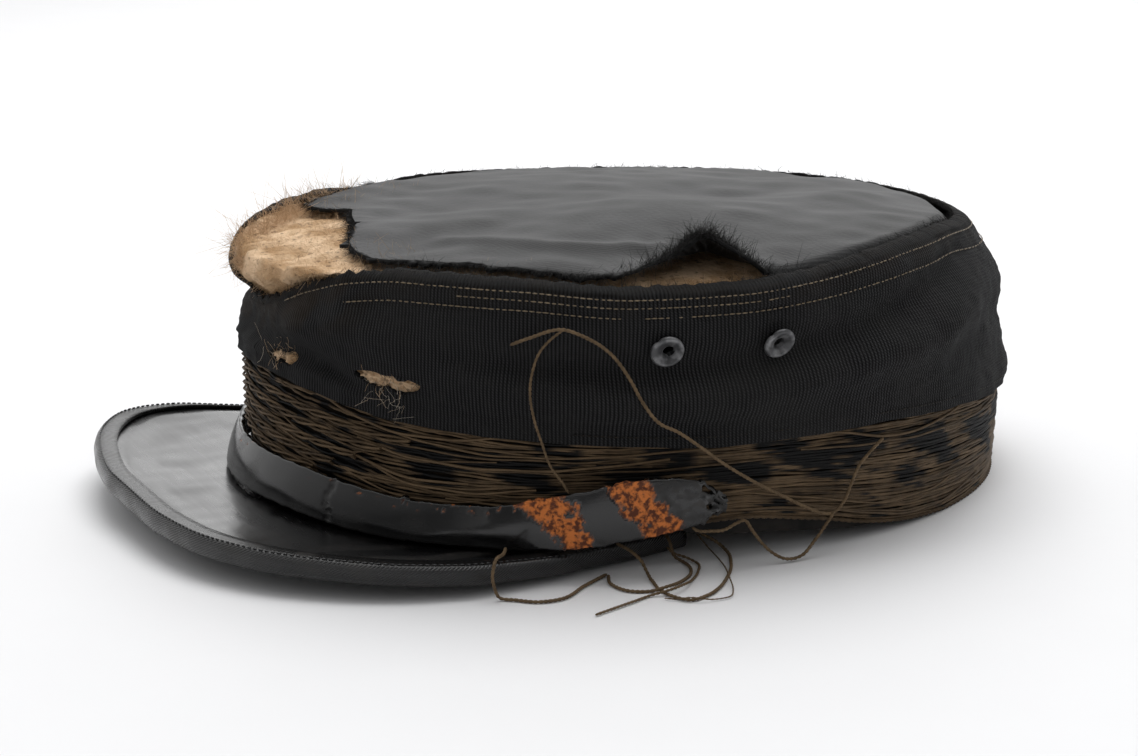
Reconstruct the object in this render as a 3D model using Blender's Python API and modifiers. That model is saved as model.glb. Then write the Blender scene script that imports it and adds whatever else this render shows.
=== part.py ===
"""Worn round cap with a ribbed cloth side, a corded band and a bound leather visor.

Run with: blender --background --python part.py
Metres, +Z up. The visor points to -Y, the wearer's left is +X. The cap rests on
the back of its rim and on the two rear corners of its visor, on the plane z = 0.
Angles go round the crown from the front: 0 front, 90 wearer's left, 180 back.
"""
import math

import bmesh
import bpy
from mathutils import Matrix, Vector

# Driving dimensions, metres
CROWN_LENGTH = 0.200
CROWN_WIDTH = 0.160
CROWN_HEIGHT = 0.065
SIDE_CLOTH = 0.0015
TOP_CLOTH = 0.0010
TOP_DOME = 0.0030
SEAM_LIP = 0.0045
LIP_RISE = 0.0018
HEM_OVERLAP = 0.0022
FOLD_DEPTH = 0.0032
BAND_WALL = 0.0020
BAND_TAPER = 0.0010
BAND_WAVE = 0.0004
SWEATBAND_WALL = 0.0012
SWEATBAND_HEIGHT = 0.018
SWEATBAND_TAPER = 0.0010
WADDING_DEPTH = 0.0050
WADDING_BULGE = 0.0024
SIDE_WADDING_WALL = 0.0030
PIPING_WIDTH = 0.0040
PIPING_THICKNESS = 0.0010
STRAP_WIDTH = 0.0130
STRAP_THICKNESS = 0.0018
STRAP_LIFT = 0.0062
STRAP_GAP = 0.0012
STRAP_BOW = 0.0006
# The share of the band's height that the strap's gap is measured from
STRAP_BESIDE = 0.3
VISOR_HALF_WIDTH = 0.0720
VISOR_REACH = 0.0315
VISOR_THICKNESS = 0.0024
BINDING_WALL = 0.0010
BINDING_COVER = 0.0042
EYELET_DIAMETER = 0.0075
EYELET_BARREL = 0.0040
EYELET_HOLE = 0.0028
EYELET_PLATE = 0.0006
BUTTON_DIAMETER = 0.0130
BUTTON_HEIGHT = 0.0045
CLEARANCE = 0.0004
# How many clearances the sewn edge of the top cloth lies under the seam's lip
TUCK_GAPS = 6

# Counts: waves round the band, and the fineness of the meshes
BAND_WAVES = 7
STATIONS = 72
EYELET_SIDES = 12
VISOR_STEPS = 38
STRAP_STEPS = 38
BINDING_STEPS = 44

HALF_LENGTH = CROWN_LENGTH / 2
HALF_WIDTH = CROWN_WIDTH / 2
FRONT_REACH = HALF_LENGTH + VISOR_REACH
# The origin stands under the middle of the whole outline, visor included.
MIDDLE_Y = (HALF_LENGTH - FRONT_REACH) / 2

# Heights are shares of CROWN_HEIGHT, inset is a share of HALF_WIDTH, bare is 0 to 1:
# 1 where the side cloth has torn down from the top and leaves the wadding open.
CAP_COLUMNS = ("angle", "rim", "hem", "seam", "top", "inset", "bare")
CAP_ROWS = (
    (0, 0.130, 0.600, 0.820, 1.022, 0.030, 1.0),
    (15, 0.122, 0.580, 0.930, 1.024, 0.022, 1.0),
    (24, 0.114, 0.548, 0.985, 1.026, 0.018, 0.5),
    (33, 0.108, 0.520, 1.008, 1.036, 0.020, 0.0),
    (50, 0.104, 0.483, 0.998, 1.026, 0.015, 0.0),
    (66, 0.135, 0.453, 0.966, 0.994, 0.010, 0.0),
    (80, 0.155, 0.436, 0.964, 0.992, 0.012, 0.0),
    (92, 0.112, 0.436, 0.980, 1.008, 0.025, 0.0),
    (102, 0.052, 0.434, 1.002, 1.030, 0.045, 0.0),
    (112, 0.015, 0.420, 1.016, 1.044, 0.072, 0.0),
    (122, 0.000, 0.405, 1.016, 1.044, 0.096, 0.0),
    (138, 0.000, 0.375, 0.985, 1.013, 0.122, 0.0),
    (160, 0.000, 0.370, 0.950, 0.978, 0.126, 0.0),
    (180, 0.000, 0.380, 0.940, 0.968, 0.105, 0.0),
    (205, 0.000, 0.405, 0.947, 0.975, 0.075, 0.0),
    (235, 0.000, 0.430, 0.957, 0.985, 0.045, 0.0),
    (262, 0.000, 0.440, 0.972, 1.000, 0.030, 0.0),
    (276, 0.045, 0.450, 0.990, 1.018, 0.028, 0.0),
    (287, 0.086, 0.465, 0.998, 1.026, 0.028, 0.0),
    (300, 0.112, 0.490, 0.950, 1.034, 0.032, 0.7),
    (315, 0.124, 0.530, 0.870, 1.036, 0.040, 1.0),
    (332, 0.130, 0.570, 0.795, 1.030, 0.045, 1.0),
    (346, 0.132, 0.592, 0.785, 1.024, 0.040, 1.0),
)

# Folds and rolls of the side cloth: where each starts and ends round the
# crown, its share of the way from hem to seam, its sag below a straight line,
# its depth as a share of FOLD_DEPTH (plus is out) and its width as a share of
# CROWN_HEIGHT.
FOLD_COLUMNS = ("start", "end", "start_rise", "end_rise", "sag", "depth", "width")
SIDE_FOLDS = (
    (40, 124, 0.51, 0.86, 0.12, -0.85, 0.055),
    (46, 126, 0.33, 0.60, 0.11, 1.00, 0.085),
    (-14, 28, 0.72, 0.06, -0.06, -0.85, 0.055),
    (-16, 16, 0.38, 0.04, -0.04, 0.45, 0.060),
    (8, 44, 0.62, 0.46, -0.06, 0.55, 0.070),
    (132, 172, 0.52, 0.40, 0.05, -0.40, 0.060),
    (124, 196, 0.62, 0.60, 0.00, -0.60, 0.340),
    (196, 262, 0.48, 0.60, 0.08, -0.50, 0.065),
    (200, 272, 0.28, 0.34, 0.06, 0.65, 0.085),
    (276, 330, 0.42, 0.30, 0.05, -0.45, 0.060),
)

# Hollows and rises of the top cloth: place as shares of the half length towards
# the back and of the half width towards the left, height as a share of
# TOP_DOME and spread as a share of HALF_WIDTH.
SWELL_COLUMNS = ("back", "left", "height", "spread")
TOP_SWELLS = (
    (0.30, -0.10, -0.75, 0.26),
    (-0.05, 0.25, 0.45, 0.30),
    (0.62, 0.28, 0.55, 0.22),
    (0.55, -0.45, -0.40, 0.24),
    (-0.40, -0.35, -0.35, 0.26),
)

# The torn edge of the top cloth: reach is its share of the way out to the seam,
# curl is its lift as a share of TOP_DOME.
TEAR_COLUMNS = ("angle", "reach", "curl")
TOP_TEAR = (
    (-68, 1.00, 0.0),
    (-58, 0.94, 0.0),
    (-38, 0.94, 0.0),
    (-31, 0.88, 0.1),
    (-27, 0.78, 0.1),
    (-12, 0.77, 0.2),
    (0, 0.80, 0.2),
    (8, 0.86, 0.1),
    (24, 0.935, 0.1),
    (40, 0.935, 0.2),
    (54, 0.945, 0.2),
    (64, 0.93, 0.4),
    (72, 0.90, 1.4),
    (77, 0.87, 2.5),
    (82, 0.90, 1.5),
    (86, 0.96, 0.3),
    (90, 1.00, 0.0),
    (292, 1.00, 0.0),
)

# The outer edge of the visor, from its left rear corner round the front to its
# right rear corner: across is a share of VISOR_HALF_WIDTH, ahead of FRONT_REACH
# and lift, the height of its lower face, of CROWN_HEIGHT. Root is the angle at
# which that stretch meets the rim, sink its drop there below the rim and lap how
# far it runs in under the rim, as a share of HALF_WIDTH.
VISOR_COLUMNS = ("across", "ahead", "lift", "root", "sink", "lap")
VISOR_ROWS = (
    (0.885, 0.165, 0.007, 77, 0.086, 0.300),
    (0.945, 0.310, 0.011, 70, 0.060, 0.240),
    (0.990, 0.450, 0.021, 61, 0.022, 0.140),
    (0.990, 0.575, 0.035, 52, 0.002, 0.070),
    (0.925, 0.705, 0.048, 43, 0.000, 0.035),
    (0.790, 0.820, 0.060, 34, 0.000, 0.022),
    (0.595, 0.918, 0.070, 25, 0.000, 0.022),
    (0.340, 0.980, 0.080, 14, 0.000, 0.022),
    (0.055, 1.000, 0.092, 3, 0.000, 0.022),
    (-0.250, 1.000, 0.106, -9, 0.000, 0.022),
    (-0.550, 0.972, 0.120, -21, 0.000, 0.022),
    (-0.790, 0.920, 0.130, -32, 0.000, 0.022),
    (-0.935, 0.845, 0.134, -42, 0.000, 0.035),
    (-0.985, 0.750, 0.122, -50, 0.000, 0.055),
    (-0.995, 0.630, 0.085, -58, 0.004, 0.090),
    (-0.990, 0.460, 0.034, -65, 0.010, 0.160),
    (-0.940, 0.300, 0.011, -71, 0.014, 0.240),
    (-0.880, 0.160, 0.007, -77, 0.008, 0.300),
)

# The chin strap: middle is the height of its middle line, as a share of
# CROWN_HEIGHT, width a share of STRAP_WIDTH, lift its distance off the band as
# a share of STRAP_LIFT and lean how far its lower edge stands out further, as a
# share of STRAP_WIDTH.
STRAP_COLUMNS = ("angle", "middle", "width", "lift", "lean")
STRAP_ROWS = (
    (-84, 0.165, 0.55, 0.00, 0.00),
    (-80, 0.170, 0.95, 0.00, 0.02),
    (-64, 0.215, 0.95, 0.02, 0.12),
    (-40, 0.240, 0.84, 0.05, 0.22),
    (-10, 0.228, 0.74, 0.06, 0.26),
    (10, 0.222, 0.74, 0.06, 0.26),
    (24, 0.200, 0.72, 0.06, 0.24),
    (36, 0.184, 0.66, 0.10, 0.20),
    (46, 0.184, 0.70, 0.28, 0.12),
    (53, 0.204, 0.86, 0.66, 0.06),
    (60, 0.232, 1.00, 0.95, 0.02),
    (66, 0.258, 1.02, 1.00, 0.00),
    (72, 0.266, 0.88, 0.80, 0.00),
    (77, 0.250, 0.40, 0.50, 0.00),
)

# Vent eyelets: angle, and share of the way from hem to seam.
EYELET_COLUMNS = ("name", "angle", "rise")
EYELET_ROWS = (
    ("eyelet_left_front", 70.0, 0.655),
    ("eyelet_left_back", 85.2, 0.672),
    ("eyelet_right_front", -70.0, 0.655),
    ("eyelet_right_back", -85.5, 0.660),
)

# Two tears through the side cloth: each outline goes round its own middle, in
# shares of its width and height.
TEAR_OUTLINE = (
    (1.0, 0.1),
    (0.55, 0.5),
    (0.0, 0.35),
    (-0.5, 0.55),
    (-1.0, 0.2),
    (-0.6, -0.4),
    (0.1, -0.3),
    (0.6, -0.5),
)
# Width and height are shares of CROWN_HEIGHT.
HOLE_COLUMNS = ("angle", "rise", "width", "height")
SIDE_HOLES = (
    (8.0, 0.26, 0.192, 0.095),
    (30.5, 0.27, 0.285, 0.105),
)

# Colours (red, green, blue), roughness and metallic of each material
FINISHES = {
    "ribbed_cloth": ((0.016, 0.016, 0.018), 0.75, 0.0),
    "top_cloth": ((0.030, 0.030, 0.032), 0.65, 0.0),
    "wadding": ((0.560, 0.400, 0.240), 0.95, 0.0),
    "corded_band": ((0.090, 0.060, 0.035), 0.70, 0.0),
    "patent_leather": ((0.010, 0.010, 0.011), 0.22, 0.0),
    "sweatband_leather": ((0.020, 0.017, 0.015), 0.60, 0.0),
    "worn_metal": ((0.130, 0.130, 0.130), 0.45, 0.7),
}


def named(columns, rows):
    """Give each row of a table its column names."""
    return [dict(zip(columns, row)) for row in rows]


CAP = named(CAP_COLUMNS, CAP_ROWS)
FOLDS = named(FOLD_COLUMNS, SIDE_FOLDS)
SWELLS = named(SWELL_COLUMNS, TOP_SWELLS)
TEAR = named(TEAR_COLUMNS, TOP_TEAR)
VISOR = named(VISOR_COLUMNS, VISOR_ROWS)
STRAP = named(STRAP_COLUMNS, STRAP_ROWS)
EYELETS = named(EYELET_COLUMNS, EYELET_ROWS)
HOLES = named(HOLE_COLUMNS, SIDE_HOLES)


def blend(a, b, share):
    """Go from a to b by a share."""
    return a + (b - a) * share


def ease(value):
    """A smooth step from 0 to 1."""
    value = min(max(value, 0.0), 1.0)
    return value * value * (3 - 2 * value)


def through(knots, x):
    """Read a smooth curve through (x, y) knots that never overshoots them."""
    if x <= knots[0][0]:
        return knots[0][1]
    if x >= knots[-1][0]:
        return knots[-1][1]
    i = max(k for k in range(len(knots) - 1) if knots[k][0] <= x)
    secants = [(b[1] - a[1]) / (b[0] - a[0]) for a, b in zip(knots, knots[1:])]

    def slope(k):
        if k == 0 or k == len(knots) - 1:
            return secants[min(k, len(secants) - 1)]
        before, after = secants[k - 1], secants[k]
        return 0.0 if before * after <= 0 else 2 * before * after / (before + after)

    (x0, y0), (x1, y1) = knots[i], knots[i + 1]
    span = x1 - x0
    u = (x - x0) / span
    rise = (2 * u**3 - 3 * u**2 + 1) * y0 + (3 * u**2 - 2 * u**3) * y1
    return rise + span * ((u**3 - 2 * u**2 + u) * slope(i) + (u**3 - u**2) * slope(i + 1))


def closed_knots(rows, column):
    """Knots of one column round the whole crown, with the neighbours over the join."""
    knots = [(row["angle"], row[column]) for row in rows]
    before = [(a - 360, y) for a, y in knots[-3:]]
    after = [(a + 360, y) for a, y in knots[:3]]
    return before + knots + after


CAP_KNOTS = {name: closed_knots(CAP, name) for name in CAP_COLUMNS[1:]}
TEAR_KNOTS = {name: [(row["angle"], row[name]) for row in TEAR] for name in TEAR_COLUMNS[1:]}
STRAP_KNOTS = {name: [(row["angle"], row[name]) for row in STRAP] for name in STRAP_COLUMNS[1:]}
VISOR_KNOTS = {name: [(i / (len(VISOR) - 1), row[name]) for i, row in enumerate(VISOR)]
               for name in VISOR_COLUMNS}


def cap(column, angle):
    """Read the cap's table at an angle: heights and insets come out in metres."""
    share = through(CAP_KNOTS[column], angle % 360)
    if column == "bare":
        return share
    return share * (HALF_WIDTH if column == "inset" else CROWN_HEIGHT)


def tear(column, angle):
    """Read the torn edge of the top cloth at an angle."""
    around = angle % 360
    last = TEAR[-1]["angle"]
    return through(TEAR_KNOTS[column], around - 360 if around > last else around)


def oval(angle, out, height):
    """A point at an angle on the crown's oval, moved out square to it, at a height."""
    t = math.radians(angle)
    across, ahead = math.sin(t), -math.cos(t)
    square = Vector((across * HALF_LENGTH, ahead * HALF_WIDTH)).normalized()
    x = across * HALF_WIDTH + square.x * out
    y = ahead * HALF_LENGTH + square.y * out
    return Vector((x, y, height))


def outward(angle):
    """The direction square to the crown's oval at an angle."""
    return (oval(angle, 1.0, 0) - oval(angle, 0.0, 0)).normalized()


def fold_push(angle, rise):
    """How far the folds of the side cloth push it out at an angle and a share of its height."""
    push = 0.0
    for fold in FOLDS:
        middle = (fold["start"] + fold["end"]) / 2
        turned = (angle - middle + 180) % 360 - 180 + middle
        along = (turned - fold["start"]) / (fold["end"] - fold["start"])
        if not -0.2 < along < 1.2:
            continue
        line = blend(fold["start_rise"], fold["end_rise"], along) - fold["sag"] * 4 * along * (1 - along)
        side = (rise - line) * (cap("seam", angle) - cap("hem", angle)) / (fold["width"] * CROWN_HEIGHT)
        ends = ease((along + 0.2) / 0.35) * ease((1.2 - along) / 0.35)
        push += fold["depth"] * FOLD_DEPTH * math.exp(-side * side) * ends
    over_band = 1.5 * HEM_OVERLAP / (cap("seam", angle) - cap("hem", angle))
    return push * ease((rise - over_band) / 0.12) * ease((1.05 - rise) / 0.15)


def lean_in(angle, rise):
    """How far the side cloth leans in from the oval on its way up to the seam."""
    return cap("inset", angle) * max(0.0, (rise - 0.45) / 0.55) ** 2.4


def side_point(angle, rise):
    """The outer face of the side cloth, rise 0 at the hem and 1 at the seam."""
    out = fold_push(angle, rise) - lean_in(angle, rise)
    return oval(angle, out, blend(cap("hem", angle), cap("seam", angle), rise))


def lip_turn(angle):
    """How far the raw edge above the seam turns in: hardly at all where it has torn free."""
    return blend(SEAM_LIP, SIDE_CLOTH / 4, cap("bare", angle))


def lip_point(angle, share):
    """The raw edge above the seam, which turns in over the top where that is whole."""
    out = -cap("inset", angle) - lip_turn(angle) * share**1.3
    return oval(angle, out, cap("seam", angle) + LIP_RISE * math.sin(share * math.pi / 2))


def seam_out(angle):
    """How far in from the oval the edge of the top cloth is tucked."""
    return -cap("inset", angle) - SEAM_LIP * 0.72


def top_height(angle, share):
    """The height of the top cloth at a share of the way from its middle to the seam."""
    edge = cap("top", angle)
    middle = CROWN_HEIGHT + LIP_RISE + TOP_DOME
    height = blend(middle, edge, share**2.2)
    spot = oval(angle, 0, 0) * share
    for swell in SWELLS:
        centre = Vector((swell["left"] * HALF_WIDTH, swell["back"] * HALF_LENGTH, 0))
        spread = (spot - centre).length / (swell["spread"] * HALF_WIDTH)
        height += swell["height"] * TOP_DOME * math.exp(-spread * spread) * (1 - share**4)
    tuck = (SIDE_CLOTH + TUCK_GAPS * CLEARANCE) * (1 - cap("bare", angle))
    return height - tuck * ease((share - 0.93) / 0.07)


def top_point(angle, share):
    """The upper face of the top cloth, share 0 at the middle and 1 at its torn or sewn edge."""
    reach = tear("reach", angle)
    edge = oval(angle, seam_out(angle), 0)
    spot = edge * share * reach
    lift = tear("curl", angle) * TOP_DOME * ease((share - 0.75) / 0.25) ** 1.5
    return Vector((spot.x, spot.y, top_height(angle, share * reach) + lift))


def wadding_section(angle):
    """One half section through the wadding, from the middle of its top to the middle of its floor."""
    bare = cap("bare", angle)
    seam = cap("seam", angle)
    drop = TOP_CLOTH + CLEARANCE
    section = [Vector((0, 0, CROWN_HEIGHT + LIP_RISE + TOP_DOME - drop))]
    edge = oval(angle, seam_out(angle), 0)
    for share in (0.3, 0.55, 0.75, 0.88):
        spot = edge * share
        section.append(Vector((spot.x, spot.y, top_height(angle, share) - drop)))
    inside = -cap("inset", angle) - lip_turn(angle) - SIDE_CLOTH - 2 * CLEARANCE
    share_inside = oval(angle, inside, 0).length / edge.length
    under_top = top_height(angle, share_inside) - drop - 3 * CLEARANCE
    above_lip = seam + LIP_RISE + 2 * CLEARANCE
    corner = max(cap("top", angle) - drop, above_lip + CLEARANCE)
    from_bulge = (angle + 180) % 360 - 180 + 32
    bulge = WADDING_BULGE * (math.exp(-((from_bulge / 24) ** 2)) - 0.5)
    over = ease((bare - 0.55) / 0.45)
    whole = [under_top - step * WADDING_DEPTH for step in (0.0, 0.2, 0.4, 0.6)]
    torn = [blend(above_lip, corner, 0.86), blend(above_lip, corner, 0.40), above_lip,
            seam - 0.5 * WADDING_DEPTH]
    outs = [blend(inside, -0.5 * WADDING_BULGE + bulge / 2, over), blend(inside, bulge, over), inside,
            inside - 0.7 * FOLD_DEPTH]
    for out, height_whole, height_torn in zip(outs, whole, torn):
        section.append(oval(angle, out, blend(height_whole, height_torn, bare)))
    floor = CROWN_HEIGHT + LIP_RISE - TOP_CLOTH - WADDING_DEPTH
    low = min(floor, seam) - 0.4 * WADDING_DEPTH * (1 - bare)
    section.append(oval(angle, inside - 2 * WADDING_DEPTH, low))
    section.append(Vector((0, 0, floor + TOP_DOME)))
    return section


def wadding_face(angle, place):
    """A point on the wadding's surface, place counting along its section, and the way out there."""
    def at(turned):
        section = wadding_section(turned)
        i = min(int(place), len(section) - 2)
        return section[i].lerp(section[i + 1], place - i), section[i + 1] - section[i]

    spot, down = at(angle)
    round_the_crown = at(angle + 2.0)[0] - at(angle - 2.0)[0]
    return spot, down.cross(round_the_crown).normalized()


def band_out(angle, share):
    """How far out the band's face lies, share 0 at the rim and 1 under the hem."""
    wave = math.sin(math.radians(angle * BAND_WAVES)) * math.sin(math.pi * share)
    return -SIDE_CLOTH - 2 * CLEARANCE - BAND_TAPER * (1 - share) - BAND_WAVE * wave


def band_point(angle, share, out=0.0):
    """The outer face of the band, or a face that far outside it."""
    top = cap("hem", angle) + HEM_OVERLAP
    return oval(angle, band_out(angle, share) + out, blend(cap("rim", angle), top, share))


def sweatband_rim(angle):
    """The sweatband's lower edge: it shows below the band only where the rim arches up."""
    rim = cap("rim", angle)
    shows = ease((angle % 360 - 68) / 10) * ease((112 - angle % 360) / 10)
    return rim + blend(2 * CLEARANCE, -0.42 * rim, shows)


def sweatband_point(angle, share):
    """The outer face of the sweatband, inside the band."""
    low = sweatband_rim(angle)
    out = band_out(angle, 0) - BAND_WALL - CLEARANCE - SWEATBAND_TAPER * share
    return oval(angle, out, blend(low, cap("rim", angle) + SWEATBAND_HEIGHT, share))


def visor_edge(share):
    """The lower outer edge of the bound visor at a share of the way round it."""
    across, ahead, lift = (through(VISOR_KNOTS[name], share) for name in ("across", "ahead", "lift"))
    return Vector((across * VISOR_HALF_WIDTH, -ahead * FRONT_REACH, lift * CROWN_HEIGHT))


def visor_square(share):
    """The level direction square to the visor's outline, pointing out."""
    step = 0.004
    run = visor_edge(min(share + step, 1.0)) - visor_edge(max(share - step, 0.0))
    return Vector((-run.y, run.x, 0)).normalized()


def visor_point(share, out):
    """The upper face of the visor, out 0 at its root under the band and 1 at its bound edge."""
    root, sink, lap = (through(VISOR_KNOTS[name], share) for name in ("root", "sink", "lap"))
    lap *= HALF_WIDTH
    height = cap("rim", root) - sink * CROWN_HEIGHT - CLEARANCE
    inner = oval(root, band_out(root, 0) - lap, height)
    face = BINDING_WALL + CLEARANCE
    outer = visor_edge(share) - visor_square(share) * face
    outer.z += face + VISOR_THICKNESS
    point = inner.lerp(outer, out)
    under = min((lap + 2 * CLEARANCE) / (outer - inner).length, 0.75)
    point.z = blend(inner.z, outer.z, max(0.0, (out - under) / (1 - under)))
    return point


def visor_normal(share, out):
    """The upward normal of the visor's upper face."""
    step = 0.01
    along = visor_point(min(share + step, 1.0), out) - visor_point(max(share - step, 0.0), out)
    across = visor_point(share, out) - visor_point(share, out - step)
    up = across.cross(along).normalized()
    return up if up.z > 0 else -up


def strap_read(angle):
    """Read the strap's table at an angle."""
    return {name: through(STRAP_KNOTS[name], angle) for name in STRAP_COLUMNS[1:]}


def strap_point(angle, share):
    """The inner face of the strap, share 0 at its lower edge and 1 at its upper edge."""
    row = strap_read(angle)
    width = STRAP_WIDTH * row["width"]
    height = row["middle"] * CROWN_HEIGHT + width * (share - 0.5)
    out = band_out(angle, STRAP_BESIDE) + STRAP_GAP + STRAP_BOW * math.sin(math.pi * share)
    out += row["lift"] * STRAP_LIFT + row["lean"] * STRAP_WIDTH * (1 - share)
    return oval(angle, out, height)


def finish(name):
    """The material of a finish, made once."""
    found = bpy.data.materials.get(name)
    if found:
        return found
    colour, roughness, metallic = FINISHES[name]
    material = bpy.data.materials.new(name)
    material.use_nodes = True
    shader = next(n for n in material.node_tree.nodes if n.type == "BSDF_PRINCIPLED")
    shader.inputs["Base Color"].default_value = (*colour, 1.0)
    shader.inputs["Roughness"].default_value = roughness
    shader.inputs["Metallic"].default_value = metallic
    material.diffuse_color = (*colour, 1.0)
    return material


def add_object(name, mesh, collection, finish_name=None):
    """Put a mesh in a collection as an object, smooth but for its sharp edges."""
    mesh.shade_smooth()
    mesh.set_sharp_from_angle(angle=math.radians(50))
    item = bpy.data.objects.new(name, mesh)
    collection.objects.link(item)
    if finish_name:
        mesh.materials.append(finish(finish_name))
    return item


def sheet(name, grid, collection, finish_name, closed=False, rolled=False):
    """A surface lofted through rows of points, rolled if its last row joins the first."""
    mesh = bpy.data.meshes.new(name)
    shape = bmesh.new()
    rows = [[shape.verts.new(point) for point in row] for row in grid]
    for lower, upper in zip(rows, rows[1:] + (rows[:1] if rolled else [])):
        count = len(lower)
        for i in range(count if closed else count - 1):
            j = (i + 1) % count
            shape.faces.new((lower[i], lower[j], upper[j], upper[i]))
    shape.to_mesh(mesh)
    shape.free()
    return add_object(name, mesh, collection, finish_name)


def thicken(item, thickness, offset=-1.0):
    """Give an open surface its wall, inwards from its faces unless offset says otherwise."""
    wall = item.modifiers.new("wall", "SOLIDIFY")
    wall.thickness = thickness
    wall.offset = offset
    wall.use_even_offset = True
    return item


def angles(count=STATIONS):
    """Even angles round the crown."""
    return [360 * i / count for i in range(count)]


def build_side(collection, cutters):
    """The ribbed side cloth, from its hem over the band to its raw edge at the top."""
    rises = (0, 0.14, 0.27, 0.40, 0.50, 0.58, 0.68, 0.84, 1.0)
    grid = [[side_point(a, rise) for a in angles()] for rise in rises]
    grid += [[lip_point(a, share) for a in angles()] for share in (0.4, 1.0)]
    side = thicken(sheet("crown_side", grid, collection, "ribbed_cloth", closed=True), SIDE_CLOTH)
    for number, hole in enumerate(HOLES):
        cut(side, tear_cutter("tear_cutter_%d" % number, hole, cutters))
    for row in EYELETS:
        cut(side, barrel_cutter(row, cutters))
    return side


def build_top(collection):
    """The top cloth, torn away at the front and along the left side."""
    shares = (0.2, 0.42, 0.62, 0.78, 0.91, 1.0)
    mesh = bpy.data.meshes.new("crown_top")
    shape = bmesh.new()
    middle = shape.verts.new(top_point(0, 0.0))
    rings = [[shape.verts.new(top_point(a, share)) for a in angles()] for share in shares]
    fan(shape, middle, rings[0])
    for inner, outer in zip(rings, rings[1:]):
        for i in range(STATIONS):
            j = (i + 1) % STATIONS
            shape.faces.new((inner[i], outer[i], outer[j], inner[j]))
    shape.to_mesh(mesh)
    shape.free()
    return thicken(add_object("crown_top", mesh, collection, "top_cloth"), TOP_CLOTH)


def fan(shape, middle, ring, turned=False):
    """Close a ring with triangles to its middle."""
    for i in range(len(ring)):
        a, b = ring[i], ring[(i + 1) % len(ring)]
        shape.faces.new((middle, b, a) if turned else (middle, a, b))


def build_wadding(collection):
    """The wadding under the top cloth, which rolls out over the torn front."""
    sections = [wadding_section(a) for a in angles()]
    mesh = bpy.data.meshes.new("wadding")
    shape = bmesh.new()
    top = shape.verts.new(sections[0][0])
    base = shape.verts.new(sections[0][-1])
    inner_points = range(1, len(sections[0]) - 1)
    rings = [[shape.verts.new(section[k]) for section in sections] for k in inner_points]
    fan(shape, top, rings[0])
    for upper, lower in zip(rings, rings[1:]):
        for i in range(STATIONS):
            j = (i + 1) % STATIONS
            shape.faces.new((upper[i], lower[i], lower[j], upper[j]))
    fan(shape, base, rings[-1], turned=True)
    shape.to_mesh(mesh)
    shape.free()
    return add_object("wadding", mesh, collection, "wadding")


def build_side_wadding(collection):
    """The wadding behind the torn front of the side cloth."""
    gap = SIDE_CLOTH + CLEARANCE

    def behind(angle, rise):
        height = side_point(angle, rise).z
        nearby = [(angle + turn, rise + lean) for turn in (-4, 0, 4) for lean in (-0.1, 0, 0.1)]
        deepest = min(fold_push(*place) for place in nearby)
        return oval(angle, min(deepest, 0) - gap - lean_in(angle, rise + 0.1), height)

    grid = [[behind(a, rise) for a in range(-6, 47, 4)] for rise in (0.3, 0.4, 0.5, 0.6, 0.7)]
    return thicken(sheet("side_wadding", grid, collection, "wadding"), SIDE_WADDING_WALL)


def build_piping(collection):
    """The dark seam strip left along the torn front edge of the top."""
    path = (
        (-8, 6.55),
        (-13, 6.1),
        (-18, 5.7),
        (-25, 5.35),
        (-33, 5.15),
        (-42, 5.1),
        (-50, 5.1),
        (-57, 5.1),
    )
    grid = [[], [], []]
    for angle, place in path:
        spot, away = wadding_face(angle, place)
        ahead = wadding_face(angle - 3, place)[0]
        across = away.cross(ahead - spot).normalized() * PIPING_WIDTH / 2
        seat = spot + away * 2 * CLEARANCE
        for row, side in zip(grid, (-1, 0, 1)):
            row.append(seat + across * side + away * CLEARANCE * (1 - abs(side)))
    return thicken(sheet("top_piping", grid, collection, "ribbed_cloth"), PIPING_THICKNESS, 1.0)


def build_band(collection):
    """The band round the foot of the cap, level across its rim."""
    shares = (0, 0.33, 0.67, 1.0)
    outside = [[band_point(a, share) for a in angles()] for share in shares]
    inside = [[band_point(a, share, -BAND_WALL) for a in angles()] for share in reversed(shares)]
    return sheet("band", outside + inside, collection, "corded_band", closed=True, rolled=True)


def build_sweatband(collection):
    """The leather sweatband inside the band."""
    grid = [[sweatband_point(a, share) for a in angles()] for share in (0, 1.0)]
    item = sheet("sweatband", grid, collection, "sweatband_leather", closed=True)
    return thicken(item, SWEATBAND_WALL)


def build_strap(collection):
    """The chin strap over the root of the visor, with its left end torn free."""
    first, last = STRAP[0]["angle"], STRAP[-1]["angle"]
    stops = [blend(first, last, i / STRAP_STEPS) for i in range(STRAP_STEPS + 1)]
    grid = [[strap_point(a, share) for a in stops] for share in (0, 0.33, 0.67, 1.0)]
    return thicken(sheet("chin_strap", grid, collection, "patent_leather"), STRAP_THICKNESS, 1.0)


def build_visor(collection):
    """The leather visor, its root lapped under the band."""
    stops = [i / VISOR_STEPS for i in range(VISOR_STEPS + 1)]
    grid = [[visor_point(s, out) for s in stops] for out in (0, 0.25, 0.5, 0.75, 1.0)]
    return thicken(sheet("visor", grid, collection, "patent_leather"), VISOR_THICKNESS)


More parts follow.
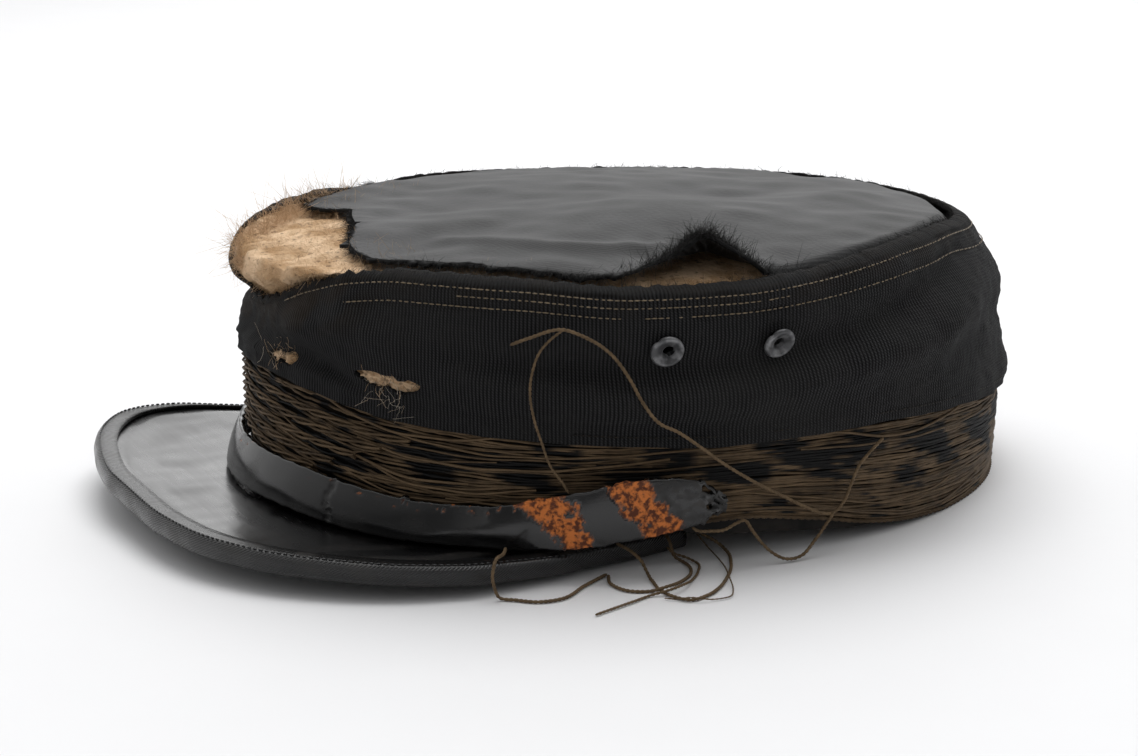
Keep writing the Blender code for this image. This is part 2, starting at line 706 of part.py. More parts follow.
def build_binding(collection):
    """The folded leather binding round the edge of the visor."""
    rows = [[] for _ in range(6)]
    for share in [i / BINDING_STEPS for i in range(BINDING_STEPS + 1)]:
        edge = visor_point(share, 1.0)
        cover = BINDING_COVER / (edge - visor_point(share, 0.0)).length
        back = visor_point(share, 1.0 - cover)
        up = visor_normal(share, 1.0)
        out = visor_square(share)
        out = (out - up * out.dot(up)).normalized()
        below = up * (VISOR_THICKNESS + CLEARANCE)
        beside = edge + out * CLEARANCE
        profile = (
            back + up * CLEARANCE,
            edge + up * CLEARANCE,
            beside,
            beside - up * VISOR_THICKNESS,
            edge - below,
            back - below,
        )
        for row, point in zip(rows, profile):
            row.append(point)
    item = sheet("visor_binding", rows, collection, "patent_leather")
    return thicken(item, BINDING_WALL, 1.0)


def wall_frame(row):
    """Where an eyelet sits on the side cloth: its middle, and a matrix with Z straight out."""
    angle, rise = row["angle"], row["rise"]
    middle = side_point(angle, rise)
    up = side_point(angle, rise + 0.05) - side_point(angle, rise - 0.05)
    along = side_point(angle + 2, rise) - side_point(angle - 2, rise)
    away = along.cross(up).normalized()
    along.normalize()
    turn = Matrix((along, away.cross(along), away)).transposed().to_4x4()
    return middle, away, Matrix.Translation(middle) @ turn


def eyelet_seat(row):
    """How far outside the cloth's middle point the flange clears the cloth all round it."""
    middle, away, _ = wall_frame(row)
    span = math.degrees(EYELET_DIAMETER / 2 / HALF_WIDTH)
    high = EYELET_DIAMETER / 2 / (cap("seam", row["angle"]) - cap("hem", row["angle"]))
    around_it = [side_point(row["angle"] + span * x, row["rise"] + high * y)
                 for x in (-1, -0.5, 0, 0.5, 1) for y in (-1, -0.5, 0, 0.5, 1)]
    return max((point - middle).dot(away) for point in around_it) + CLEARANCE


def turned(name, profile, matrix, collection, finish_name=None, sides=EYELET_SIDES):
    """A body turned round the matrix's Z from a closed or axis-to-axis profile of (radius, height)."""
    mesh = bpy.data.meshes.new(name)
    shape = bmesh.new()
    verts = [shape.verts.new((radius, 0, height)) for radius, height in profile]
    loop = verts + verts[:1] if profile[0][0] > 0 else verts
    for a, b in zip(loop, loop[1:]):
        shape.edges.new((a, b))
    shape.to_mesh(mesh)
    shape.free()
    item = add_object(name, mesh, collection, finish_name)
    item.matrix_world = matrix
    screw = item.modifiers.new("turn", "SCREW")
    screw.steps = sides
    screw.render_steps = sides
    screw.use_merge_vertices = True
    screw.merge_threshold = 0.00001
    return item


def build_eyelet(row, collection):
    """A vent eyelet: a flange outside, a barrel through the cloth and a rolled lip inside."""
    _, _, matrix = wall_frame(row)
    seat = eyelet_seat(row)
    barrel, bore, flange = EYELET_BARREL / 2, EYELET_HOLE / 2, EYELET_DIAMETER / 2
    foot = -SIDE_CLOTH - 2 * CLEARANCE
    profile = ((flange, seat), (barrel, seat), (barrel, foot), (bore, foot),
               (bore, seat + EYELET_PLATE * 0.6), (blend(bore, flange, 0.4), seat + EYELET_PLATE * 1.4),
               (flange, seat + EYELET_PLATE * 0.5))
    return turned(row["name"], profile, matrix, collection, "worn_metal")


def build_button(collection):
    """The side button that holds the strap's hidden right end."""
    angle = -80.0
    seat = strap_point(angle, 0.5)
    away = outward(angle)
    start = seat + away * (STRAP_THICKNESS + CLEARANCE)
    rise = Vector((0, 0, 1))
    matrix = Matrix.Translation(start) @ Matrix((away.cross(rise) * -1, rise, away)).transposed().to_4x4()
    radius = BUTTON_DIAMETER / 2
    shares = ((0, 1.0), (0.4, 0.97), (0.75, 0.8), (1.0, 0.3), (0.9, 0.1), (0, 0))
    profile = [(radius * wide, BUTTON_HEIGHT * high) for wide, high in shares]
    return turned("side_button", profile, matrix, collection, "worn_metal")


def mark_cutter(item):
    """Show a cutter as a wire and keep it out of renders."""
    item.hide_render = True
    item.display_type = "WIRE"
    return item


def barrel_cutter(row, collection):
    """A rod through the side cloth for an eyelet's barrel."""
    _, _, matrix = wall_frame(row)
    mesh = bpy.data.meshes.new("cutter")
    shape = bmesh.new()
    radius = EYELET_BARREL / 2 + CLEARANCE
    bmesh.ops.create_cone(
        shape,
        cap_ends=True,
        segments=EYELET_SIDES,
        radius1=radius,
        radius2=radius,
        depth=6 * SIDE_CLOTH,
    )
    shape.to_mesh(mesh)
    shape.free()
    item = add_object("cutter_" + row["name"], mesh, collection)
    item.matrix_world = matrix
    return mark_cutter(item)


def tear_cutter(name, hole, collection):
    """A ragged block through the side cloth."""
    _, _, matrix = wall_frame(hole)
    wide, high = (hole[side] * CROWN_HEIGHT / 2 for side in ("width", "height"))
    mesh = bpy.data.meshes.new(name)
    shape = bmesh.new()
    outline = [shape.verts.new((x * wide, y * high, -3 * SIDE_CLOTH)) for x, y in TEAR_OUTLINE]
    face = shape.faces.new(outline)
    raised = bmesh.ops.extrude_face_region(shape, geom=[face])
    verts = [v for v in raised["geom"] if isinstance(v, bmesh.types.BMVert)]
    bmesh.ops.translate(shape, verts=verts, vec=(0, 0, 6 * SIDE_CLOTH))
    bmesh.ops.recalc_face_normals(shape, faces=shape.faces)
    shape.to_mesh(mesh)
    shape.free()
    item = add_object(name, mesh, collection)
    item.matrix_world = matrix
    return mark_cutter(item)


def cut(item, cutter):
    """Take a cutter's shape out of an object."""
    slot = item.modifiers.new("hole", "BOOLEAN")
    slot.operation = "DIFFERENCE"
    slot.object = cutter


def main():
    """Clear the scene and build every piece."""
    for item in list(bpy.data.objects):
        bpy.data.objects.remove(item, do_unlink=True)
    parts = bpy.data.collections.new("cap")
    cutters = bpy.data.collections.new("cutters")
    for collection in (parts, cutters):
        bpy.context.scene.collection.children.link(collection)
    build_side(parts, cutters)
    build_top(parts)
    build_wadding(parts)
    build_side_wadding(parts)
    build_piping(parts)
    build_band(parts)
    build_sweatband(parts)
    build_strap(parts)
    build_visor(parts)
    build_binding(parts)
    for row in EYELETS:
        build_eyelet(row, parts)
    build_button(parts)
    for item in list(parts.objects) + list(cutters.objects):
        item.location.y -= MIDDLE_Y


main()
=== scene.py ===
"""Looks of a worn round cap: ribbed cloth, torn top, corded band, patent leather visor and strap.

Metres, +Z up. The visor points to -Y and the wearer's left is +X. Angles go round
the crown from the front: 0 front, 90 wearer's left, 180 back.
"""
import math

import bmesh
import bpy
import numpy as np
from bpy.props import FloatProperty, FloatVectorProperty, IntProperty, PointerProperty
from mathutils import Matrix, Vector


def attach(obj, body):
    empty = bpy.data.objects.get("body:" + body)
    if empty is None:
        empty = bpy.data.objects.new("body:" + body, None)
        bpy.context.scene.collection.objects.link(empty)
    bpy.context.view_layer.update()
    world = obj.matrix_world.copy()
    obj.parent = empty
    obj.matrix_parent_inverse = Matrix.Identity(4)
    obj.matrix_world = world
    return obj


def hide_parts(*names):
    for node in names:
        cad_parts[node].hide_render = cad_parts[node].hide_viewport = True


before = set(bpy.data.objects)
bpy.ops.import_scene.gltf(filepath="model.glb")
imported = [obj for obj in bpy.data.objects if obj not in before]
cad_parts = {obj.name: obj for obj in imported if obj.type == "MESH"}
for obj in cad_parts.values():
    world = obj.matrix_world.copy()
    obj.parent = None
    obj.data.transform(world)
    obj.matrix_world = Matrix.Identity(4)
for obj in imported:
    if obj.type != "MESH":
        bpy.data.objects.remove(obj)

bl_info = {
    "name": "Worn round cap",
    "version": (1, 0, 0),
    "blender": (4, 5, 0),
    "location": "View3D > Sidebar > Cap",
    "description": "Dresses the solids of a worn round cap with cloth, cords and leather",
    "category": "Object",
}

# The cap's own dimensions, metres
CROWN_LENGTH = 0.200
CROWN_WIDTH = 0.160
CROWN_HEIGHT = 0.065
SIDE_CLOTH = 0.0015
TOP_CLOTH = 0.0010
TOP_DOME = 0.0030
SEAM_LIP = 0.0045
LIP_RISE = 0.0018
HEM_OVERLAP = 0.0022
FOLD_DEPTH = 0.0032
BAND_WALL = 0.0020
BAND_TAPER = 0.0010
BAND_WAVE = 0.0004
WADDING_DEPTH = 0.0050
WADDING_BULGE = 0.0024
PIPING_WIDTH = 0.0040
PIPING_THICKNESS = 0.0010
STRAP_WIDTH = 0.0130
STRAP_THICKNESS = 0.0018
STRAP_LIFT = 0.0062
STRAP_GAP = 0.0012
STRAP_BOW = 0.0006
STRAP_BESIDE = 0.3
VISOR_HALF_WIDTH = 0.0720
VISOR_REACH = 0.0315
VISOR_THICKNESS = 0.0024
BINDING_WALL = 0.0010
BINDING_COVER = 0.0042
EYELET_DIAMETER = 0.0075
EYELET_HOLE = 0.0028
EYELET_PLATE = 0.0006
BUTTON_DIAMETER = 0.0130
BUTTON_HEIGHT = 0.0045
CLEARANCE = 0.0004
TUCK_GAPS = 6
BAND_WAVES = 7

HALF_LENGTH = CROWN_LENGTH / 2
HALF_WIDTH = CROWN_WIDTH / 2
FRONT_REACH = HALF_LENGTH + VISOR_REACH
MIDDLE_Y = (HALF_LENGTH - FRONT_REACH) / 2

# How far one degree runs round the crown, and how far in the patterns of the band and the strap
DEGREE_RUN = math.radians(1) * (HALF_LENGTH + HALF_WIDTH) / 2
BAND_RUN = 0.0016
STRAP_RUN = 0.0015

# Camera of the photograph: azimuth and elevation in degrees, distance and lens, and
# where the middle of the crown's foot falls in a frame of PHOTO_SIZE pixels
CAMERA_AZIMUTH = 61.6
CAMERA_ELEVATION = 14.5
CAMERA_DISTANCE = 0.650
PIXELS_PER_METRE = 3930.0
PHOTO_SIZE = (1138, 756)
CROWN_PIXEL = (631, 468)
SENSOR_WIDTH = 36.0

# Heights are shares of CROWN_HEIGHT, inset is a share of HALF_WIDTH, bare is 0 to 1
CAP_COLUMNS = ("angle", "rim", "hem", "seam", "top", "inset", "bare")
CAP_ROWS = (
    (0, 0.130, 0.600, 0.820, 1.022, 0.030, 1.0),
    (15, 0.122, 0.580, 0.930, 1.024, 0.022, 1.0),
    (24, 0.114, 0.548, 0.985, 1.026, 0.018, 0.5),
    (33, 0.108, 0.520, 1.008, 1.036, 0.020, 0.0),
    (50, 0.104, 0.483, 0.998, 1.026, 0.015, 0.0),
    (66, 0.135, 0.453, 0.966, 0.994, 0.010, 0.0),
    (80, 0.155, 0.436, 0.964, 0.992, 0.012, 0.0),
    (92, 0.112, 0.436, 0.980, 1.008, 0.025, 0.0),
    (102, 0.052, 0.434, 1.002, 1.030, 0.045, 0.0),
    (112, 0.015, 0.420, 1.016, 1.044, 0.072, 0.0),
    (122, 0.000, 0.405, 1.016, 1.044, 0.096, 0.0),
    (138, 0.000, 0.375, 0.985, 1.013, 0.122, 0.0),
    (160, 0.000, 0.370, 0.950, 0.978, 0.126, 0.0),
    (180, 0.000, 0.380, 0.940, 0.968, 0.105, 0.0),
    (205, 0.000, 0.405, 0.947, 0.975, 0.075, 0.0),
    (235, 0.000, 0.430, 0.957, 0.985, 0.045, 0.0),
    (262, 0.000, 0.440, 0.972, 1.000, 0.030, 0.0),
    (276, 0.045, 0.450, 0.990, 1.018, 0.028, 0.0),
    (287, 0.086, 0.465, 0.998, 1.026, 0.028, 0.0),
    (300, 0.112, 0.490, 0.950, 1.034, 0.032, 0.7),
    (315, 0.124, 0.530, 0.870, 1.036, 0.040, 1.0),
    (332, 0.130, 0.570, 0.795, 1.030, 0.045, 1.0),
    (346, 0.132, 0.592, 0.785, 1.024, 0.040, 1.0),
)

# Folds of the side cloth, depth as a share of FOLD_DEPTH, width of CROWN_HEIGHT
FOLD_COLUMNS = ("start", "end", "start_rise", "end_rise", "sag", "depth", "width")
SIDE_FOLDS = (
    (40, 124, 0.51, 0.86, 0.12, -0.85, 0.055),
    (46, 126, 0.33, 0.60, 0.11, 1.00, 0.085),
    (-14, 28, 0.72, 0.06, -0.06, -0.85, 0.055),
    (-16, 16, 0.38, 0.04, -0.04, 0.45, 0.060),
    (8, 44, 0.62, 0.46, -0.06, 0.55, 0.070),
    (132, 172, 0.52, 0.40, 0.05, -0.40, 0.060),
    (124, 196, 0.62, 0.60, 0.00, -0.60, 0.340),
    (196, 262, 0.48, 0.60, 0.08, -0.50, 0.065),
    (200, 272, 0.28, 0.34, 0.06, 0.65, 0.085),
    (276, 330, 0.42, 0.30, 0.05, -0.45, 0.060),
)

# Hollows and rises of the top cloth
SWELL_COLUMNS = ("back", "left", "height", "spread")
TOP_SWELLS = (
    (0.30, -0.10, -0.75, 0.26),
    (-0.05, 0.25, 0.45, 0.30),
    (0.62, 0.28, 0.55, 0.22),
    (0.55, -0.45, -0.40, 0.24),
    (-0.40, -0.35, -0.35, 0.26),
)

# The torn edge of the top cloth
TEAR_COLUMNS = ("angle", "reach", "curl")
TOP_TEAR = (
    (-68, 1.00, 0.0),
    (-58, 0.94, 0.0),
    (-38, 0.94, 0.0),
    (-31, 0.88, 0.1),
    (-27, 0.78, 0.1),
    (-12, 0.77, 0.2),
    (0, 0.80, 0.2),
    (8, 0.86, 0.1),
    (24, 0.935, 0.1),
    (40, 0.935, 0.2),
    (54, 0.945, 0.2),
    (64, 0.93, 0.4),
    (72, 0.90, 1.4),
    (77, 0.87, 2.5),
    (82, 0.90, 1.5),
    (86, 0.96, 0.3),
    (90, 1.00, 0.0),
    (292, 1.00, 0.0),
)

# The outer edge of the visor, from its left rear corner to its right rear corner
VISOR_COLUMNS = ("across", "ahead", "lift", "root", "sink", "lap")
VISOR_ROWS = (
    (0.885, 0.165, 0.007, 77, 0.086, 0.300),
    (0.945, 0.310, 0.011, 70, 0.060, 0.240),
    (0.990, 0.450, 0.021, 61, 0.022, 0.140),
    (0.990, 0.575, 0.035, 52, 0.002, 0.070),
    (0.925, 0.705, 0.048, 43, 0.000, 0.035),
    (0.790, 0.820, 0.060, 34, 0.000, 0.022),
    (0.595, 0.918, 0.070, 25, 0.000, 0.022),
    (0.340, 0.980, 0.080, 14, 0.000, 0.022),
    (0.055, 1.000, 0.092, 3, 0.000, 0.022),
    (-0.250, 1.000, 0.106, -9, 0.000, 0.022),
    (-0.550, 0.972, 0.120, -21, 0.000, 0.022),
    (-0.790, 0.920, 0.130, -32, 0.000, 0.022),
    (-0.935, 0.845, 0.134, -42, 0.000, 0.035),
    (-0.985, 0.750, 0.122, -50, 0.000, 0.055),
    (-0.995, 0.630, 0.085, -58, 0.004, 0.090),
    (-0.990, 0.460, 0.034, -65, 0.010, 0.160),
    (-0.940, 0.300, 0.011, -71, 0.014, 0.240),
    (-0.880, 0.160, 0.007, -77, 0.008, 0.300),
)

# The chin strap
STRAP_COLUMNS = ("angle", "middle", "width", "lift", "lean")
STRAP_ROWS = (
    (-84, 0.165, 0.55, 0.00, 0.00),
    (-80, 0.170, 0.95, 0.00, 0.02),
    (-64, 0.215, 0.95, 0.02, 0.12),
    (-40, 0.240, 0.84, 0.05, 0.22),
    (-10, 0.228, 0.74, 0.06, 0.26),
    (10, 0.222, 0.74, 0.06, 0.26),
    (24, 0.200, 0.72, 0.06, 0.24),
    (36, 0.184, 0.66, 0.10, 0.20),
    (46, 0.184, 0.70, 0.28, 0.12),
    (53, 0.204, 0.86, 0.66, 0.06),
    (60, 0.232, 1.00, 0.95, 0.02),
    (66, 0.258, 1.02, 1.00, 0.00),
    (72, 0.266, 0.88, 0.80, 0.00),
    (77, 0.250, 0.40, 0.50, 0.00),
)

# Patches where the strap's coat is gone: angles at its upper and its lower edge
RAW_COLUMNS = ("top_start", "top_end", "foot_start", "foot_end")
RAW_PATCHES = (
    (50.0, 56.8, 57.0, 60.4),
    (61.3, 66.3, 67.0, 72.0),
)

EYELET_COLUMNS = ("node", "angle", "rise", "turn")
EYELET_ROWS = (
    ("eyelet_left_front", 70.0, 0.655, -40.0),
    ("eyelet_left_back", 85.2, 0.672, -50.0),
    ("eyelet_right_front", -70.0, 0.655, 30.0),
    ("eyelet_right_back", -85.5, 0.660, 80.0),
)

# Two tears through the side cloth, in shares of half their width and height
TEAR_OUTLINE = (
    (1.0, 0.1),
    (0.55, 0.5),
    (0.0, 0.35),
    (-0.5, 0.55),
    (-1.0, 0.2),
    (-0.6, -0.4),
    (0.1, -0.3),
    (0.6, -0.5),
)
HOLE_COLUMNS = ("angle", "rise", "width", "height")
SIDE_HOLES = (
    (8.0, 0.26, 0.192, 0.095),
    (30.5, 0.27, 0.285, 0.105),
)

# Rows of stitching on the side cloth: first and last angle, and the drop below the seam
STITCH_COLUMNS = ("first", "last", "drop")
STITCH_ROWS = (
    (8, 300, 0.0004),
    (42, 88, 0.0022),
    (22, 300, 0.0044),
)

# Routes of the loose threads: points in metres, chosen one by one
THREAD_ROUTES = {
    "thread_side_loop": (
        (0.0615, -0.0500, 0.0531), (0.0643, -0.0466, 0.0549), (0.0688, -0.0408, 0.0570),
        (0.0713, -0.0370, 0.0555), (0.0724, -0.0310, 0.0512), (0.0739, -0.0270, 0.0453),
        (0.0766, -0.0253, 0.0405), (0.0793, -0.0228, 0.0363), (0.0805, -0.0187, 0.0340),
        (0.0811, -0.0134, 0.0301), (0.0817, -0.0083, 0.0261), (0.0822, 0.0012, 0.0198),
        (0.0823, 0.0084, 0.0157), (0.0825, 0.0145, 0.0123), (0.0825, 0.0181, 0.0106),
        (0.0824, 0.0217, 0.0102), (0.0822, 0.0242, 0.0120), (0.0821, 0.0264, 0.0161),
        (0.0813, 0.0289, 0.0198), (0.0804, 0.0325, 0.0224), (0.0786, 0.0376, 0.0248),
    ),
    "thread_side_fall": (
        (0.0689, -0.0409, 0.0570), (0.0671, -0.0434, 0.0544), (0.0655, -0.0448, 0.0518),
        (0.0650, -0.0464, 0.0472), (0.0670, -0.0480, 0.0427), (0.0673, -0.0474, 0.0382),
        (0.0670, -0.0451, 0.0315), (0.0675, -0.0432, 0.0261), (0.0688, -0.0409, 0.0223),
        (0.0698, -0.0399, 0.0201),
    ),
    "thread_floor_front": (
        (0.0654, -0.0533, 0.0085), (0.0683, -0.0552, 0.0085), (0.0751, -0.0611, 0.0085),
        (0.0755, -0.0617, 0.0060), (0.0750, -0.0610, 0.0035), (0.0745, -0.0595, 0.0008),
        (0.0765, -0.0568, 0.0005), (0.0800, -0.0530, 0.0005), (0.0807, -0.0478, 0.0005),
        (0.0756, -0.0393, 0.0005), (0.0709, -0.0309, 0.0005),
    ),
    "thread_floor_middle": (
        (0.0649, -0.0263, 0.0060), (0.0689, -0.0265, 0.0060), (0.0731, -0.0258, 0.0055),
        (0.0750, -0.0247, 0.0040), (0.0755, -0.0235, 0.0015), (0.0780, -0.0239, 0.0005),
        (0.0865, -0.0259, 0.0005), (0.0913, -0.0254, 0.0005), (0.0945, -0.0235, 0.0005),
        (0.0936, -0.0185, 0.0005), (0.0903, -0.0134, 0.0005), (0.0864, -0.0094, 0.0005),
        (0.0775, -0.0026, 0.0005), (0.0703, 0.0005, 0.0010), (0.0677, 0.0000, 0.0020),
        (0.0663, -0.0013, 0.0030), (0.0638, -0.0049, 0.0050),
    ),
    "thread_floor_coil": (
        (0.0628, -0.0115, 0.0050), (0.0671, -0.0127, 0.0045), (0.0690, -0.0122, 0.0010),
        (0.0710, -0.0116, 0.0005), (0.0748, -0.0120, 0.0005), (0.0802, -0.0150, 0.0005),
        (0.0833, -0.0194, 0.0005), (0.0864, -0.0248, 0.0012), (0.0855, -0.0278, 0.0005),
        (0.0832, -0.0321, 0.0005), (0.0772, -0.0334, 0.0005), (0.0716, -0.0310, 0.0005),
    ),
    "thread_floor_outer": (
        (0.0671, -0.0133, 0.0030), (0.0690, -0.0127, 0.0020), (0.0707, -0.0106, 0.0012),
        (0.0723, -0.0092, 0.0005), (0.0793, -0.0124, 0.0005), (0.0829, -0.0158, 0.0005),
        (0.0872, -0.0205, 0.0014), (0.0890, -0.0254, 0.0014), (0.0878, -0.0292, 0.0005),
        (0.0894, -0.0343, 0.0005), (0.0910, -0.0395, 0.0005), (0.0931, -0.0462, 0.0005),
    ),
    "thread_floor_hair": (
        (0.0612, -0.0033, 0.0045), (0.0642, -0.0038, 0.0040), (0.0664, -0.0024, 0.0015),
        (0.0738, -0.0035, 0.0005), (0.0869, -0.0090, 0.0013), (0.0935, -0.0120, 0.0005),
        (0.0965, -0.0145, 0.0005), (0.0965, -0.0190, 0.0005), (0.0950, -0.0240, 0.0013),
        (0.0925, -0.0261, 0.0005), (0.0907, -0.0279, 0.0005),
    ),
    "thread_rim_loop": (
        (0.0794, -0.0142, 0.0113), (0.0796, -0.0132, 0.0105), (0.0800, -0.0095, 0.0098),
        (0.0801, -0.0062, 0.0096), (0.0801, -0.0029, 0.0107), (0.0804, -0.0012, 0.0112),
        (0.0806, 0.0008, 0.0087), (0.0809, 0.0036, 0.0050), (0.0816, 0.0059, 0.0027),
        (0.0823, 0.0092, 0.0010), (0.0825, 0.0129, 0.0012), (0.0825, 0.0166, 0.0044),
        (0.0824, 0.0198, 0.0079), (0.0831, 0.0212, 0.0105),
    ),
}
THREAD_THICKNESS = {"thread_floor_hair": 0.45, "thread_floor_outer": 0.8, "thread_side_fall": 0.8}


def named(columns, rows):
    """Give each row of a table its column names."""
    return [dict(zip(columns, row)) for row in rows]


FOLDS = named(FOLD_COLUMNS, SIDE_FOLDS)
SWELLS = named(SWELL_COLUMNS, TOP_SWELLS)
RAW = named(RAW_COLUMNS, RAW_PATCHES)
EYELETS = named(EYELET_COLUMNS, EYELET_ROWS)
HOLES = named(HOLE_COLUMNS, SIDE_HOLES)
STITCHES = named(STITCH_COLUMNS, STITCH_ROWS)


# Form of the cap, worked out for whole arrays of angles at once


def blend(a, b, share):
    """Go from a to b by a share."""
    return a + (b - a) * share


def ease(value):
    """A smooth step from 0 to 1."""
    value = np.clip(value, 0.0, 1.0)
    return value * value * (3 - 2 * value)


def between_knots(u, span, start, end, slope_start, slope_end):
    """A smooth cubic between two knots, from their values and slopes."""
    rise = (2 * u**3 - 3 * u**2 + 1) * start + (3 * u**2 - 2 * u**3) * end
    return rise + span * ((u**3 - 2 * u**2 + u) * slope_start + (u**3 - u**2) * slope_end)


def through(xs, ys, x):
    """Read a smooth curve through knots that never overshoots them."""
    xs, ys = np.asarray(xs, float), np.asarray(ys, float)
    x = np.clip(np.asarray(x, float), xs[0], xs[-1])
    secant = np.diff(ys) / np.diff(xs)
    before, after = secant[:-1], secant[1:]
    same = before * after > 0
    total = np.where(same, before + after, 1.0)
    middle = np.where(same, 2 * before * after / total, 0.0)
    slope = np.concatenate([secant[:1], middle, secant[-1:]])
    i = np.clip(np.searchsorted(xs, x, side="right") - 1, 0, len(xs) - 2)
    span = xs[i + 1] - xs[i]
    return between_knots((x - xs[i]) / span, span, ys[i], ys[i + 1], slope[i], slope[i + 1])


def column(columns, rows, name):
    """One column of a table as an array."""
    return np.array([row[columns.index(name)] for row in rows], float)


def cap(name, angle):
    """Read the cap's table at angles: heights and insets come out in metres."""
    angles, values = column(CAP_COLUMNS, CAP_ROWS, "angle"), column(CAP_COLUMNS, CAP_ROWS, name)
    angles = np.concatenate([angles[-3:] - 360, angles, angles[:3] + 360])
    values = np.concatenate([values[-3:], values, values[:3]])
    share = through(angles, values, np.asarray(angle, float) % 360)
    if name == "bare":
        return share
    return share * (HALF_WIDTH if name == "inset" else CROWN_HEIGHT)


def tear(name, angle):
    """Read the torn edge of the top cloth at angles."""
    angles, values = column(TEAR_COLUMNS, TOP_TEAR, "angle"), column(TEAR_COLUMNS, TOP_TEAR, name)
    around = np.asarray(angle, float) % 360
    return through(angles, values, np.where(around > angles[-1], around - 360, around))


def strap_read(name, angle):
    """Read the strap's table at angles."""
    return through(column(STRAP_COLUMNS, STRAP_ROWS, "angle"), column(STRAP_COLUMNS, STRAP_ROWS, name), angle)


def visor_read(name, share):
    """Read the visor's table at shares of the way round its edge."""
    values = column(VISOR_COLUMNS, VISOR_ROWS, name)
    return through(np.linspace(0, 1, len(values)), values, share)


def unit(vectors):
    """Vectors of length one."""
    return vectors / np.maximum(np.linalg.norm(vectors, axis=-1, keepdims=True), 1e-12)


def stack(x, y, z):
    """Points from three arrays of coordinates."""
    return np.stack(np.broadcast_arrays(x, y, z), axis=-1).astype(float)


def oval(angle, out, height):
    """Points at angles on the crown's oval, moved out square to it, at a height."""
    t = np.radians(np.asarray(angle, float))
    across, ahead = np.sin(t), -np.cos(t)
    square = unit(np.stack([across * HALF_LENGTH, ahead * HALF_WIDTH], -1))
    x = across * HALF_WIDTH + square[..., 0] * out
    y = ahead * HALF_LENGTH + square[..., 1] * out - MIDDLE_Y
    return stack(x, y, height)


def ripple(u, v, reach, seed, count=9):
    """A smooth random field from -1 to 1: waves of about a given length in any direction."""
    rng = np.random.default_rng(seed)
    total = np.zeros(np.broadcast(u, v).shape)
    for _ in range(count):
        turn, phase = rng.uniform(0, 2 * math.pi, 2)
        pace = 2 * math.pi / (reach * rng.uniform(0.6, 1.6))
        total += np.sin((np.cos(turn) * u + np.sin(turn) * v) * pace + phase)
    return total / math.sqrt(count) / 1.4


def side_height(angle):
    """How tall the side cloth stands from its hem to its seam."""
    return cap("seam", angle) - cap("hem", angle)


def fold_push(angle, rise):
    """How far the folds of the side cloth push it out."""
    angle, rise = np.broadcast_arrays(np.asarray(angle, float), np.asarray(rise, float))
    tall = side_height(angle)
    push = np.zeros(angle.shape)
    for fold in FOLDS:
        middle = (fold["start"] + fold["end"]) / 2
        turned = (angle - middle + 180) % 360 - 180 + middle
        along = (turned - fold["start"]) / (fold["end"] - fold["start"])
        line = blend(fold["start_rise"], fold["end_rise"], along) - fold["sag"] * 4 * along * (1 - along)
        side = (rise - line) * tall / (fold["width"] * CROWN_HEIGHT)
        ends = ease((along + 0.2) / 0.35) * ease((1.2 - along) / 0.35)
        push += fold["depth"] * FOLD_DEPTH * np.exp(-side * side) * ends
    over_band = 1.5 * HEM_OVERLAP / tall
    return push * ease((rise - over_band) / 0.12) * ease((1.05 - rise) / 0.15)


def side_point(angle, rise, out=0.0):
    """The outer face of the side cloth, rise 0 at the hem and 1 at the seam."""
    turn_in = np.maximum(0.0, (rise - 0.45) / 0.55) ** 2.4
    away = fold_push(angle, rise) - cap("inset", angle) * turn_in + out
    return oval(angle, away, blend(cap("hem", angle), cap("seam", angle), rise))


def lip_turn(angle):
    """How far the raw edge above the seam turns in."""
    return blend(SEAM_LIP, SIDE_CLOTH / 4, cap("bare", angle))


def lip_point(angle, share, out=0.0, up=0.0):
    """The raw edge above the seam, which turns in over the top where that is whole."""
    away = -cap("inset", angle) - lip_turn(angle) * share**1.3
    return oval(angle, away + out, cap("seam", angle) + LIP_RISE * np.sin(share * math.pi / 2) + up)


def seam_out(angle):
    """How far in from the oval the edge of the top cloth is tucked."""
    return -cap("inset", angle) - SEAM_LIP * 0.72


def top_height(angle, share):
    """The height of the top cloth at a share of the way from its middle to the seam."""
    middle = CROWN_HEIGHT + LIP_RISE + TOP_DOME
    height = blend(middle, cap("top", angle), share**2.2)
    spot = (oval(angle, 0, 0) + (0, MIDDLE_Y, 0)) * np.asarray(share)[..., None]
    for swell in SWELLS:
        x = spot[..., 0] - swell["left"] * HALF_WIDTH
        y = spot[..., 1] - swell["back"] * HALF_LENGTH
        spread = np.hypot(x, y) / (swell["spread"] * HALF_WIDTH)
        height = height + swell["height"] * TOP_DOME * np.exp(-spread * spread) * (1 - share**4)
    tuck = (SIDE_CLOTH + TUCK_GAPS * CLEARANCE) * (1 - cap("bare", angle))
    return height - tuck * ease((share - 0.93) / 0.07)


def top_point(angle, share, more=0.0):
    """The upper face of the top cloth, share 0 at the middle and 1 at its torn or sewn edge."""
    reach = tear("reach", angle) + more
    edge = oval(angle, seam_out(angle), 0) + (0, MIDDLE_Y, 0)
    spot = edge * (share * reach)[..., None]
    lift = tear("curl", angle) * TOP_DOME * ease((share - 0.75) / 0.25) ** 1.5
    return stack(spot[..., 0], spot[..., 1] - MIDDLE_Y, top_height(angle, share * reach) + lift)


